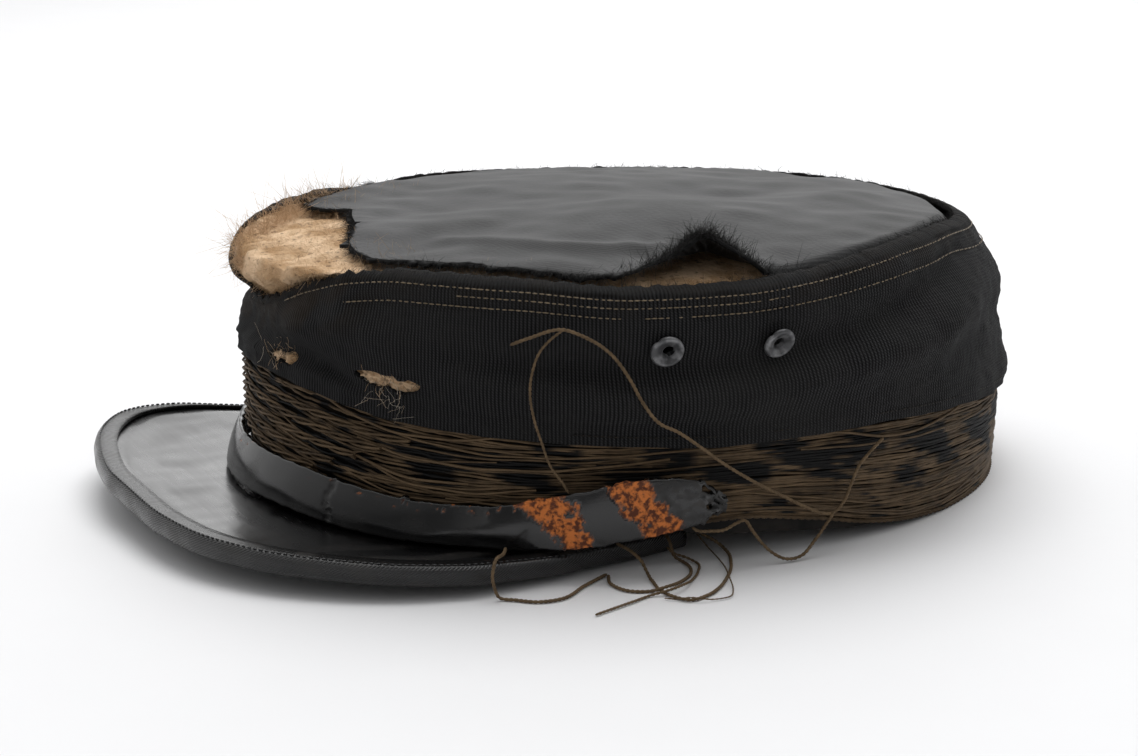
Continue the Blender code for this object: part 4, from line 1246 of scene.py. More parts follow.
class CapWadding(bpy.types.PropertyGroup):
    """Sizes and colours of the cotton wadding."""

    fibre_length: metres("Fibre length", "Longest fibre that stands out of the wadding", 0.0060)
    relief: metres("Relief", "Height of the wadding's lumps", 0.0009)
    colour: tint("Wadding", "Clean parts of the wadding", (0.72, 0.52, 0.34))
    # Painted shade in the hollows of the wadding; also the dark end of the tan fibres' tones
    shade: tint("Wadding shade", "Hollows of the wadding", (0.40, 0.25, 0.13))
    dirt: tint("Dirt", "Specks in the wadding", (0.035, 0.022, 0.014))
    white: tint("White fibre", "Loose white fibres at the tears", (0.72, 0.66, 0.56))


class CapBand(bpy.types.PropertyGroup):
    """Sizes and colours of the corded band."""

    rows: IntProperty(
        name="Rows", description="How many threads lie one above another", default=42, min=4, max=60
    )
    thread_diameter: metres("Thread diameter", "Thickness of one thread of the band", 0.00074)
    wander: metres("Wander", "How far a thread strays from its row", 0.00022)
    thread_colour: tint("Thread", "Bright side of the band's thread", (0.150, 0.100, 0.056))
    thread_shade: tint("Thread shade", "Dark side of the band's thread", (0.014, 0.009, 0.005))
    coat_colour: tint("Coat", "Black coat left on the band", (0.0050, 0.0048, 0.0048))


class CapLeather(bpy.types.PropertyGroup):
    """Colours of the leather and the metal."""

    colour: tint("Leather", "Black patent leather", (0.0022, 0.0021, 0.0024))
    dust: tint("Dust", "Scuffed and dusty leather", (0.020, 0.0165, 0.0135))
    raw_colour: tint("Raw leather", "Bright grain where the coat is gone", (0.58, 0.17, 0.035))
    raw_shade: tint("Raw shade", "Dark grain where the coat is gone", (0.09, 0.022, 0.006))
    metal: tint("Metal", "Rubbed metal", (0.20, 0.20, 0.205))
    metal_shade: tint("Paint", "Paint left on the metal", (0.07, 0.07, 0.073))
    ridge_pitch: metres("Ridge pitch", "Distance between the stitches of the visor's ridge", 0.0015)


class CapThreads(bpy.types.PropertyGroup):
    """Sizes and colours of the loose threads."""

    diameter: metres("Thread diameter", "Thickness of a loose thread", 0.00085)
    colour: tint("Thread", "Bright side of a loose thread", (0.20, 0.135, 0.075))
    shade: tint("Thread shade", "Dark side of a loose thread", (0.040, 0.026, 0.015))


class CapStage(bpy.types.PropertyGroup):
    """Floor and lights."""

    floor_size: metres("Floor size", "Radius of the pale floor", 9.0)
    floor_colour: tint("Floor", "Pale floor", (0.80, 0.80, 0.81))
    key_power: watts("Key light", "Power of the light above", 12.0)
    fill_power: watts("Fill light", "Power of the light by the camera", 1.5)
    back_power: watts("Back light", "Power of the light behind the cap", 4.0)
    sky: FloatProperty(
        name="Surround", description="Brightness of the surround behind", default=0.93, min=0.0
    )
    sky_front: FloatProperty(
        name="Front", description="Brightness of the surround in front", default=0.20, min=0.0
    )


# Pieces


def around(count, start=0.0):
    """Even angles round the crown."""
    return start + np.arange(count) * 360.0 / count


def outline_reach(outline, turn):
    """How far an outline of shares lies from its middle in a direction."""
    points = np.array(outline, float)
    angles = np.arctan2(points[:, 1], points[:, 0])
    order = np.argsort(angles)
    angles, reach = angles[order], np.hypot(points[:, 0], points[:, 1])[order]
    angles = np.concatenate([angles[-1:] - 2 * math.pi, angles, angles[:1] + 2 * math.pi])
    return np.interp(turn, angles, np.concatenate([reach[-1:], reach, reach[:1]]))


def tear_half(hole):
    """Half the width and half the height of a tear in the side cloth."""
    return hole["width"] * CROWN_HEIGHT / 2, hole["height"] * CROWN_HEIGHT / 2


def opened_hole(angle, rise, centre, half_size, outline, keep):
    """Push a grid's places out to the edge of a hole, and mark those that were inside it."""
    tall = side_height(centre[0])
    x = ((angle - centre[0] + 180) % 360 - 180) * DEGREE_RUN / half_size[0]
    y = (rise - centre[1]) * tall / half_size[1]
    turn, reach = np.arctan2(y, x), np.hypot(x, y)
    edge = outline_reach(outline, turn) if outline else np.ones_like(turn)
    inside = reach < edge
    grow = np.where(inside, edge / np.maximum(reach, 0.02), 1.0)
    keep &= ~inside
    angle = angle + np.where(inside, x * (grow - 1) * half_size[0] / DEGREE_RUN, 0.0)
    rise = rise + np.where(inside, y * (grow - 1) * half_size[1] / tall, 0.0)
    return angle, rise, keep


def side_cloth():
    """The ribbed side cloth with its tears, its folds and its ragged upper edge."""
    stops = around(560)
    rises = np.concatenate([np.linspace(0, 1, 50), 1 + np.array([0.25, 0.5, 0.75, 1.0])])
    angle, rise = np.meshgrid(stops, rises)
    keep = np.ones(angle.shape, bool)
    for hole in HOLES:
        centre = hole["angle"], hole["rise"]
        angle, rise, keep = opened_hole(angle, rise, centre, tear_half(hole), TEAR_OUTLINE, keep)
    for row in EYELETS:
        half = EYELET_HOLE / 2 + CLEARANCE, EYELET_HOLE / 2 + CLEARANCE
        angle, rise, keep = opened_hole(angle, rise, (row["angle"], row["rise"]), half, None, keep)
    tall = side_height(angle)
    run = DEGREE_RUN * angle
    out = ripple(run, rise * tall, 0.016, 5) * 0.00040 + ripple(run, rise * tall * 2.5, 0.006, 6) * 0.00016
    for row in STITCHES:
        groove = (1 - rise) * tall - row["drop"]
        within = ease((angle - row["first"]) / 3) * ease((row["last"] - angle) / 3)
        out -= 0.00035 * np.exp(-((groove / 0.0007) ** 2)) * within
    bare = cap("bare", angle)
    saw = ripple(run, 0 * run, 0.0035, 8, 14) * (0.0003 + 0.0010 * bare)
    low, high = np.clip(rise, 0, 1), np.clip(rise - 1, 0, 1)
    points = side_point(angle, low, out)
    lip = lip_point(angle, high, 0.0, saw * high)
    points = np.where((rise > 1)[..., None], lip, points)
    tatter = ease(1 - (1 - low) * tall / 0.006)
    worn = np.clip(tatter * (0.35 + 0.65 * bare) + 0.9 * bare * ease(1 - np.abs(low - 0.75) / 0.25), 0, 1)
    worn = np.maximum(worn * ease(ripple(run, rise * tall, 0.010, 9) + 0.6), 0.0)
    uv = (run, rise * CROWN_HEIGHT * 0.55)
    item = surface("side_cloth", points, closed=True, uv=uv, facts={"worn": worn}, keep=keep)
    walled(item, SIDE_CLOTH * 0.7, ribbed_cloth())
    return placed(item, "ribbed_cloth", "crown_side")


def top_cloth_piece():
    """The smooth top cloth with its torn, curled edge."""
    stops = around(450)
    shares = np.concatenate([np.linspace(1.0, 0.7, 26), np.linspace(0.68, 0.0, 21)])
    angle, share = np.meshgrid(stops, shares)
    torn = ease((1.0 - tear("reach", angle)) / 0.03)
    run = DEGREE_RUN * angle
    saw = ripple(run, 0 * run, 0.0040, 21, 14) * 0.010 + ripple(run, 0 * run, 0.014, 22) * 0.012
    points = top_point(angle, share, saw * torn * ease((share - 0.8) / 0.2))
    x, y = points[..., 0], points[..., 1]
    crease = ripple(x, y * 0.35, 0.030, 23) * 0.00055 + ripple(x, y, 0.011, 24) * 0.00018
    near_curl = np.exp(-(((angle - 76) / 12) ** 2)) * ease((share - 0.5) / 0.4)
    crease += near_curl * np.sin(np.radians(angle) * 46) * 0.0006
    ridge = np.exp(-(((share - 0.72) / 0.05) ** 2)) * ease((angle - 10) / 15) * ease((80 - angle) / 15)
    points[..., 2] += (crease + ridge * 0.0011) * ease((1.02 - share) / 0.12)
    worn = torn * ease((share - 0.93) / 0.07)
    item = surface("top_cloth", points, closed=True, facts={"worn": worn})
    merged(item)
    walled(item, TOP_CLOTH * 0.8, top_cloth())
    return placed(item, "top_cloth", "crown_top")


# How far the wadding's top has sunk away from the cloth over it
WADDING_SINK = 0.0008


def wadding_piece():
    """The lumpy wadding under the top and over the torn front."""
    props = bpy.context.scene.cap_wadding
    stops = around(360)
    places = np.concatenate([np.linspace(10, 8.1, 10), np.linspace(8, 4, 34), np.linspace(3.9, 0, 22)])
    points = along_rows(wadding_sections(stops), places)
    run = np.broadcast_to(DEGREE_RUN * stops, points.shape[:2])
    lump = ripple(run, points[..., 2] + points[..., 0], 0.008, 31, 14)
    lump = lump + 0.6 * ripple(run, points[..., 2] * 1.5 + points[..., 1], 0.003, 32, 14)
    bare = cap("bare", np.broadcast_to(stops, points.shape[:2]))
    seen = bare * ease((places[:, None] - 3.5) / 0.5) * ease((7.6 - places[:, None]) / 0.4)
    sunk = WADDING_SINK * ease((5.0 - places[:, None]) / 0.5)
    points[..., 2] += np.minimum(lump, 0.4) * props.relief * seen - sunk
    item = surface("wadding_top", points, closed=True)
    merged(item)
    item.data.materials.append(wadding())
    placed(item, "wadding", "wadding")
    finished("side_wadding", wadding())
    return item


def wadding_face(angle, place):
    """Points on the wadding's surface, and the way out there."""
    i = place.astype(int)
    column_of = np.arange(len(angle))

    def at(turned_angle):
        rows = wadding_sections(turned_angle)
        a, b = rows[i, column_of], rows[i + 1, column_of]
        return blend(a, b, (place - i)[:, None]), b - a

    spot, down = at(angle)
    round_the_crown = at(angle + 2.0)[0] - at(angle - 2.0)[0]
    return spot, unit(np.cross(down, round_the_crown))


# The seam strip's path: angles, and rows of the wadding's section
PIPING_PATH = (
    (-57, 5.1),
    (-50, 5.1),
    (-42, 5.1),
    (-33, 5.15),
    (-25, 5.35),
    (-18, 5.7),
    (-13, 6.1),
    (-8, 6.55),
)

# How much further down the wadding the strip runs in its middle, in the same rows
STRIP_SHIFT = 0.15


def piping_place(angle):
    """The row of the wadding's section that the seam strip follows."""
    path = np.array(PIPING_PATH, float)
    return through(path[:, 0], path[:, 1], angle)


def piping_piece():
    """The dark seam strip left along the torn front edge of the top."""
    count = 150
    angle = np.linspace(PIPING_PATH[0][0], PIPING_PATH[-1][0], count)
    place = piping_place(angle) + STRIP_SHIFT
    spot = wadding_face(angle, place)[0]
    step = np.linalg.norm(wadding_face(angle, place + 0.1)[0] - spot, axis=-1) * 10
    ragged = ripple(angle, 0 * angle, 4.0, 41, 12)
    sides = np.linspace(-1, 1, 9)
    rows = []
    for side in sides:
        reach = side * (1 + 0.25 * ragged * (abs(side) > 0.8)) * PIPING_WIDTH / 2 / step
        seat, away = wadding_face(angle, place + reach)
        rows.append(seat + away * (3 * CLEARANCE + 0.0005 * (1 - side * side) + 0.0002 * ragged[:, None]))
    uv = (np.linspace(0, 0.07, count)[None, :], sides[:, None] * PIPING_WIDTH)
    item = surface("seam_strip", np.stack(rows), uv=uv, facts={"worn": 0.5})
    walled(item, PIPING_THICKNESS * 0.8, ribbed_cloth(), 1.0)
    return placed(item, "ribbed_cloth", "top_piping")


def coat_left(angle, share):
    """Where the black coat is left on the band."""
    run = angle * BAND_RUN
    field = ripple(run, share * 0.060, 0.026, 51, 12) + 0.5 * ripple(run, share * 0.2, 0.009, 52, 12)
    middle = np.exp(-(((share - 0.62) / 0.22) ** 2))
    return ease((field + 1.1 * middle - 0.72) / 0.18)


def band_piece():
    """The band's backing and the threads that run round it."""
    props = bpy.context.scene.cap_band
    angle, share = np.meshgrid(around(300), np.linspace(0, 1, 9))
    ground = surface("band_backing", band_point(angle, share, -0.0005), closed=True)
    walled(ground, BAND_WALL - 0.0005, band_ground())
    placed(ground, "corded_band", "band")
    rng = np.random.default_rng(53)
    stops = np.linspace(150, 510, 260)
    run = stops * BAND_RUN
    lines = []
    for row in range(props.rows):
        share = (row + 0.5) / props.rows * 0.95 + 0.01
        tall = cap("hem", stops) - cap("rim", stops)
        loose = 1 + 1.8 * np.exp(-(((stops - 375) / 22) ** 2))
        stray = ripple(run, row * 0.11, 0.030, 54, 10) + 0.5 * ripple(run, row * 0.3, 0.008, 55, 10)
        bundle = 0.006 * np.sin(run * 2 * math.pi / 0.090 + 1.7 * math.sin(row * 0.9))
        place = share + (stray * props.wander * loose / tall) + bundle * (0.3 + 0.7 * rng.random())
        out = 0.00005 + 0.00022 * ripple(run, row * 0.2, 0.017, 56, 10) * loose
        radius = props.thread_diameter / 2 * rng.uniform(0.72, 1.12)
        coat = coat_left(stops % 360, share)
        points = band_point(stops % 360, np.clip(place, 0.0, 0.985), out + 0.0001 * coat)
        tone = np.clip(rng.uniform(0.25, 0.95) + 0.2 * ripple(run, row, 0.02, 57), 0, 1)
        lines.append((points, radius, tone, coat))
    return placed(strands("band_threads", lines, band_thread(), 5), "corded_band")


def loose_band_threads():
    """Threads that have sagged off the band, and bundles of them at its front."""
    props = bpy.context.scene.cap_band
    rng = np.random.default_rng(61)
    lines = []
    for _ in range(26):
        start = rng.uniform(-18, 95)
        stop = start + rng.uniform(18, 55)
        stops = np.linspace(start, stop, 60)
        part = np.linspace(0, 1, 60)
        share = rng.uniform(0.12, 0.95)
        sag = rng.uniform(0.02, 0.12) * np.sin(part * math.pi) + 0.012 * ripple(stops, start, 9, 62)
        out = 0.0004 + rng.uniform(0.0002, 0.0011) * np.sin(part * math.pi)
        place = np.clip(share - sag + rng.uniform(-0.08, 0.08) * part, 0.03, 0.97)
        tone = rng.uniform(0.4, 1.0)
        radius = props.thread_diameter / 2 * rng.uniform(0.5, 0.9)
        lines.append((band_point(stops, place, out), radius, tone))
    for bundle in range(5):
        stops = np.linspace(-24, 14 + 5 * bundle, 90)
        share = 0.42 + 0.11 * bundle - 0.10 * ease((stops + 24) / 40)
        for ply in range(3):
            turn = np.radians(stops * 26 + ply * 120)
            out = 0.0012 + 0.0005 * np.cos(turn)
            place = np.clip(share + 0.020 * np.sin(turn), 0.02, 0.98)
            radius = props.thread_diameter / 2 * 0.85
            lines.append((band_point(stops, place, out), radius, rng.uniform(0.3, 0.9)))
    return placed(strands("band_loose_threads", lines, band_thread(), 5), "corded_band")


def rim_cord_piece():
    """The twisted cord along the band's rim."""
    line = band_point(np.linspace(64, 300, 900), 0.02, 0.0002)
    return placed(plied("rim_cord", line, 0.0006, band_thread(), lay=0.0040, sides=8), "corded_band")


def raw_strap(angle, share):
    """Where the strap's coat is gone."""
    run, rise = angle * STRAP_RUN, share * 0.012
    noise = ripple(run, rise, 0.0035, 71, 14) * 1.1 + ripple(run, rise, 0.0012, 72, 14) * 0.5
    mask = np.zeros(np.broadcast(angle, share).shape)
    for patch in RAW:
        start = blend(patch["foot_start"], patch["top_start"], share)
        end = blend(patch["foot_end"], patch["top_end"], share)
        inside = np.minimum(angle - start, end - angle) + noise
        mask = np.maximum(mask, ease(inside / 0.8 + 0.2))
    fleck = ease((ripple(run, rise, 0.0022, 73, 14) - 0.75) / 0.2) * ease((share - 0.72) / 0.2)
    fleck = fleck * np.maximum(ease((6 - np.abs(angle + 6)) / 4), 0.8 * ease((22 - np.abs(angle - 34)) / 8))
    return np.maximum(mask, fleck)


def strap_piece():
    """The patent leather chin strap with its worn patches and its torn end."""
    stops = np.concatenate([np.linspace(-84, 30, 200), np.linspace(30.3, 77.5, 290)])
    angle, share = np.meshgrid(stops, np.linspace(0, 1, 24))
    raw = raw_strap(angle, share)
    run, rise = angle * STRAP_RUN, share * 0.013
    torn = ease((angle - 72) / 5)
    ragged = ripple(run, 0 * run, 0.0030, 74, 14) * 0.10 + ripple(run, 0 * run, 0.0011, 75, 14) * 0.06
    edge = np.where(share > 0.5, 1, -1) * np.abs(share - 0.5) ** 2 * 4
    place = share + edge * ragged * (0.10 + 1.6 * torn)
    chip = ripple(run, rise, 0.005, 76, 12)
    keep = ~((torn > 0.35) & (chip > 0.55 - 0.2 * torn))
    crack = np.exp(-(((angle - 20.5 - 0.5 * np.sin(share * 9)) / 0.22) ** 2))
    crease = 0.00004 * ripple(run, share * 0.02, 0.014, 77)
    out = crease - 0.00045 * raw + 0.00018 * raw * ripple(run, rise, 0.0012, 78, 14) - 0.0005 * crack
    out = out + torn * 0.0006 * ripple(run, rise, 0.004, 79)
    points = strap_point(angle, place, out + STRAP_THICKNESS)
    flaked = ease((angle - 66.5) / 3) * ease(ripple(run, rise, 0.0028, 80, 12) + 0.4)
    dusty = ease(ripple(run, rise, 0.012, 81) + 0.2)
    scuff = np.clip(0.20 * dusty + 0.8 * flaked + 0.5 * crack, 0, 1)
    uv = (run, share * STRAP_WIDTH)
    item = surface("chin_strap_leather", points, uv=uv, facts={"raw": raw, "scuff": scuff}, keep=keep)
    walled(item, STRAP_THICKNESS * 0.9, patent("strap_patent"))
    return placed(item, "patent_leather", "chin_strap")


def visor_piece():
    """The patent leather visor."""
    share, out = np.meshgrid(np.linspace(0, 1, 200), np.linspace(0, 1, 52))
    points = visor_point(share, out)
    x, y = points[..., 0], points[..., 1]
    dents = ripple(x, y * 0.4, 0.022, 91) * 0.00022 + ripple(x, y, 0.006, 92) * 0.00004
    points[..., 2] += dents * ease((1 - out) / 0.1)
    groove = np.exp(-(((out - 0.86) / 0.018) ** 2))
    points[..., 2] -= 0.0001 * groove
    near = ease((0.42 - share) / 0.2) * ease((out - 0.2) / 0.3)
    scuff = near * ease(ripple(x, y * 0.5, 0.012, 93, 12) + 0.35) * 0.75
    scuff = np.maximum(scuff, 0.25 * ease(ripple(x, y, 0.020, 94) - 0.1))
    item = surface("visor_leather", points, uv=(x, y), facts={"raw": np.zeros(x.shape), "scuff": scuff})
    walled(item, VISOR_THICKNESS, patent("visor_patent", 0.2))
    return placed(item, "patent_leather", "visor")


# The binding's section: out past the visor's edge in CLEARANCEs, up in thicknesses of the visor
BINDING_SECTION = (
    (None, 0.17),
    (-2.0, 0.17),
    (0.0, 0.15),
    (0.8, 0.02),
    (1.4, -0.25),
    (1.6, -0.50),
    (1.4, -0.75),
    (0.8, -1.02),
    (0.0, -1.15),
    (-2.0, -1.17),
    (None, -1.17),
)


def binding_piece():
    """The binding folded round the visor's edge, with its stitched ridge."""
    props = bpy.context.scene.cap_leather
    share = np.linspace(0, 1, 320)
    edge = visor_point(share, 1.0)
    cover = BINDING_COVER / np.linalg.norm(edge - visor_point(share, 0.0), axis=-1)
    back = visor_point(share, 1.0 - cover)
    up = visor_normal(share, 1.0)
    out = visor_square(share)
    out = unit(out - up * np.sum(out * up, -1, keepdims=True))
    wobble = ripple(share * 0.4, share * 0, 0.012, 95)[:, None] * 0.00012
    rows = []
    for reach, high in BINDING_SECTION:
        start = back if reach is None else edge + out * (reach * CLEARANCE * 0.6 + wobble)
        rows.append(start + up * high * VISOR_THICKNESS)
    marks = np.linspace(0, len(rows) - 1, 25)
    points = along_rows(np.stack(rows), marks)
    run = np.linspace(0, 0.36, len(share))
    scuff = 0.35 * ease(ripple(run[None, :], marks[:, None] * 0.002, 0.012, 96))
    uv = (run[None, :], marks[:, None] * 0.0011)
    item = surface("visor_binding_leather", points, uv=uv, facts={"scuff": scuff})
    walled(item, BINDING_WALL * 0.9, binding_leather(), 1.0)
    placed(item, "patent_leather", "visor_binding")
    ridge = edge + up * (CLEARANCE + BINDING_WALL) + out * 0.0001
    dots = strands_mesh("visor_ridge", [(ridge[6:-6], 1.0, 0.5)])
    settings = {"Pitch": props.ridge_pitch, "Length": 0.0013, "Width": 0.0004, "Unevenness": 0.12, "Seed": 4}
    grown(dots, stitch_tree(), **settings, Material=patent("ridge_patent"))
    return placed(dots, "patent_leather")


def wall_frame(row):
    """A matrix on the side cloth with Z straight out."""
    angle, rise = np.array([row["angle"]]), np.array([row["rise"]])
    middle = side_point(angle, rise)[0]
    up = (side_point(angle, rise + 0.05) - side_point(angle, rise - 0.05))[0]
    along = unit((side_point(angle + 2, rise) - side_point(angle - 2, rise))[0])
    away = unit(np.cross(along, up))
    turn = Matrix((Vector(along), Vector(np.cross(away, along)), Vector(away))).transposed().to_4x4()
    return Matrix.Translation(middle) @ turn


def eyelet_seat(row):
    """How far outside the cloth's middle point the flange clears the cloth all round it."""
    matrix = wall_frame(row)
    span = math.degrees(EYELET_DIAMETER / 2 / HALF_WIDTH)
    high = EYELET_DIAMETER / 2 / float(side_height(row["angle"]))
    x, y = np.meshgrid(np.linspace(-1, 1, 5), np.linspace(-1, 1, 5))
    spots = side_point(row["angle"] + span * x.ravel(), row["rise"] + high * y.ravel())
    away = np.array(matrix.col[2][:3])
    return float(((spots - np.array(matrix.translation)) @ away).max()) + CLEARANCE


# An eyelet's section: radius as a share of its half width, height in plate thicknesses, and
# how far its ring has shifted with the dished middle
EYELET_SECTION = (
    (1.00, 0.0, 0.0),
    (1.02, 0.6, 0.0),
    (0.97, 1.3, 0.0),
    (0.86, 1.5, 0.1),
    (0.70, 0.9, 0.5),
    (0.48, 0.1, 0.9),
    (0.36, -0.8, 1.0),
    (0.32, -2.2, 1.0),
    (0.40, -3.4, 1.0),
)


# The side button: its angle, and its section in shares of its half width and of its height
BUTTON_ANGLE = -80.0
BUTTON_SECTION = (
    (0.00, 0.00),
    (0.90, 0.02),
    (1.00, 0.14),
    (1.00, 0.30),
    (0.92, 0.55),
    (0.75, 0.80),
    (0.40, 0.97),
    (0.00, 1.00),
)


def eyelets_piece():
    """The dished vent eyelets."""
    for row in EYELETS:
        seat = eyelet_seat(row)
        matrix = wall_frame(row)
        t = np.linspace(0, 2 * math.pi, 48, endpoint=False)
        lean = math.radians(row["turn"])
        rings = []
        for radius, high, shift in EYELET_SECTION:
            reach = radius * EYELET_DIAMETER / 2
            drift = 0.20 * shift * EYELET_DIAMETER / 2
            notch = 1 - 0.10 * np.exp(-(((t - 2.3) / 0.16) ** 2)) * (radius > 0.8)
            x = reach * np.cos(t) * notch + drift * math.cos(lean)
            y = reach * np.sin(t) * notch + drift * math.sin(lean)
            rings.append(stack(x, y, np.full(48, seat + high * EYELET_PLATE)))
        item = surface(row["node"] + "_dished", np.stack(rings), closed=True)
        item.data.transform(matrix)
        walled(item, EYELET_PLATE * 0.5, worn_metal())
        placed(item, "worn_metal", row["node"])


def button_piece():
    """The plain button that holds the strap on the far side."""
    angle = np.array([BUTTON_ANGLE])
    start = strap_point(angle, 0.5, STRAP_THICKNESS + CLEARANCE)[0]
    away = outward(angle)[0]
    rise = np.array((0.0, 0.0, 1.0))
    matrix = Matrix((Vector(np.cross(rise, away)), Vector(rise), Vector(away))).transposed().to_4x4()
    profile = [(BUTTON_DIAMETER / 2 * wide, BUTTON_HEIGHT * high) for wide, high in BUTTON_SECTION]
    item = turned("side_button_domed", profile, Matrix.Translation(start) @ matrix, worn_metal())
    return placed(item, "worn_metal", "side_button")


def stitches_piece():
    """The rows of stitching near the seam and the row along the hem."""
    props = bpy.context.scene.cap_cloth
    bright = strand("stitch_thread", props.stitch_colour, props.stitch_shade, 0.35)
    dark = strand("hem_thread", props.stitch_shade, props.cloth_shade, 0.6)
    rows = []
    for row in STITCHES:
        angle = np.arange(row["first"], row["last"], 0.25)
        rise = 1 - row["drop"] / side_height(angle)
        rows.append((side_point(angle, rise, 0.00005 + 0.0001 * np.sin(angle * 3)), 1.0, 0.6))
    angle = np.arange(58, 300, 0.25)
    hem = side_point(angle, 0.0023 / side_height(angle), 0.00002)
    settings = {"Pitch": props.stitch_pitch, "Length": props.stitch_length, "Width": props.stitch_width}
    for name, lines, finish in (("seam_stitches", rows, bright), ("hem_stitches", [(hem, 1.0, 0.3)], dark)):
        item = strands_mesh(name, lines)
        grown(item, stitch_tree(), **settings, Unevenness=0.3, Seed=5, Material=finish)
        placed(item, "ribbed_cloth")


def hairs(roots, ways, longest, radius, seed, bend=0.6, count=4, lean=(0, 0, -0.3)):
    """Fine threads from roots, each bent its own way."""
    rng = np.random.default_rng(seed)
    lines = []
    for root, way in zip(roots, ways):
        long = longest * rng.uniform(0.25, 1.0) ** 1.4
        way = unit(np.array(way) + rng.normal(0, 0.35, 3))
        turn = rng.normal(0, bend, 3) + np.array(lean)
        part = np.linspace(0, 1, count)[:, None]
        points = np.array(root) + way * part * long + turn * part**2 * long * 0.5
        thick = radius * rng.uniform(0.6, 1.2) * (1 - 0.6 * part[:, 0])
        lines.append((points, thick, rng.uniform(0.1, 1.0)))
    return lines


def tangle(middle, spread, count, long, radius, seed, steps=18):
    """Curly fibres wandering about a middle."""
    rng = np.random.default_rng(seed)
    lines = []
    for _ in range(count):
        start = np.array(middle) + rng.normal(0, 1, 3) * spread
        way = rng.normal(0, 1, 3)
        turn = np.cumsum(rng.normal(0, 0.45, (steps, 3)), axis=0) + way
        points = start + np.cumsum(unit(turn) * long / steps, axis=0)
        lines.append((points, radius * rng.uniform(0.6, 1.3), rng.uniform(0.2, 1.0)))
    return lines


def tear_wadding_piece():
    """The matted wadding that shows in the tears of the side cloth."""
    for number, hole in enumerate(HOLES):
        half_width, half_height = tear_half(hole)
        wide = half_width / DEGREE_RUN * 1.25
        high = half_height / float(side_height(hole["angle"])) * 1.35
        x, y = np.meshgrid(np.linspace(-1, 1, 60), np.linspace(-1, 1, 40))
        lump = ripple(x * 6, y * 4, 1.2, 140 + number, 14) + 0.5 * ripple(x * 6, y * 4, 0.4, 142 + number, 14)
        dome = ease((1.05 - np.hypot(x, y)) / 0.8)
        out = -0.0018 + 0.0009 * dome + 0.00055 * lump
        points = side_point(hole["angle"] + x * wide, hole["rise"] + y * high, out)
        item = surface("tear_wadding_" + ("front", "back")[number], points)
        item.data.materials.append(wadding())
        placed(item, "wadding")


def outward(angle):
    """The level direction square to the crown's oval, pointing out."""
    return unit(oval(angle, 1.0, 0.0) - oval(angle, 0.0, 0.0))


# How many frayed threads stand on the raw lip, the torn edge of the top, its curl and each tear
LIP_HAIRS = 1900
EDGE_HAIRS = 3600
CURL_HAIRS = 1700
TEAR_HAIRS = 130

# Fuzz on the wadding: where it grows by angle and by row of the wadding's section, how straight
# it stands and how far it strays, and its length as a share of the longest fibre
FUZZ_COLUMNS = ("first", "last", "top", "foot", "count", "stand", "stray", "share", "seed")
FUZZ_ROWS = (
    (-62, 26, 3.2, 6.9, 2400, 0.6, 0.7, 0.5, 106),
    (20, 90, 4.0, 5.2, 700, 0.5, 0.6, 0.4, 107),
)
STRIP_HAIRS = 1300

# Tangles of loose white fibre at the tears
TANGLE_COLUMNS = ("angle", "rise", "spread", "count", "seed")
TANGLE_ROWS = (
    (30.0, 0.20, 0.0016, 11, 120),
    (33.0, 0.13, 0.0017, 10, 121),
    (5.0, 0.36, 0.0012, 6, 122),
)


def fibres_piece():
    """Frayed threads along the torn edges, fuzz on the wadding and tangles at the tears."""
    rng = np.random.default_rng(101)
    cloth_fibres(rng)
    wadding_fibres(rng)
    white_fibres()


def cloth_fibres(rng):
    """Frayed black threads along the torn edges of the cloth."""
    props = bpy.context.scene.cap_cloth
    angle = rng.uniform(0, 360, LIP_HAIRS)
    roots = lip_point(angle, np.full(LIP_HAIRS, 0.98), 0.0, -0.0001)
    lines = hairs(roots, np.array((0, 0, 0.7)) - outward(angle) * 0.7, 0.0022, 0.00006, 102)
    angle = rng.uniform(-66, 89, EDGE_HAIRS)
    roots = top_point(angle, np.full(EDGE_HAIRS, 0.992))
    lines += hairs(roots, outward(angle) + np.array((0, 0, -0.15)), props.fray_length, 0.00005, 103)
    angle = rng.normal(77, 5, CURL_HAIRS)
    roots = top_point(angle, rng.uniform(0.93, 1.0, CURL_HAIRS))
    lines += hairs(roots, outward(angle) * 0.5 + np.array((0, 0, 0.8)), 0.0036, 0.00006, 104, bend=0.9)
    for hole in HOLES:
        turn = rng.uniform(0, 2 * math.pi, TEAR_HAIRS)
        reach = outline_reach(TEAR_OUTLINE, (turn + math.pi) % (2 * math.pi) - math.pi) * 1.02
        wide, high = tear_half(hole)
        spot_angle = hole["angle"] + reach * np.cos(turn) * wide / DEGREE_RUN
        spot_rise = hole["rise"] + reach * np.sin(turn) * high / float(side_height(hole["angle"]))
        roots = side_point(spot_angle, spot_rise)
        middle = side_point(np.full(TEAR_HAIRS, hole["angle"]), np.full(TEAR_HAIRS, hole["rise"]))
        lines += hairs(roots, unit(middle - roots) + 0.3, 0.0022, 0.00006, 105)
    black = strand("black_fibre", props.dust_colour, props.cloth_shade, 0.7)
    placed(strands("cloth_fibres", lines, black, 3), "ribbed_cloth")


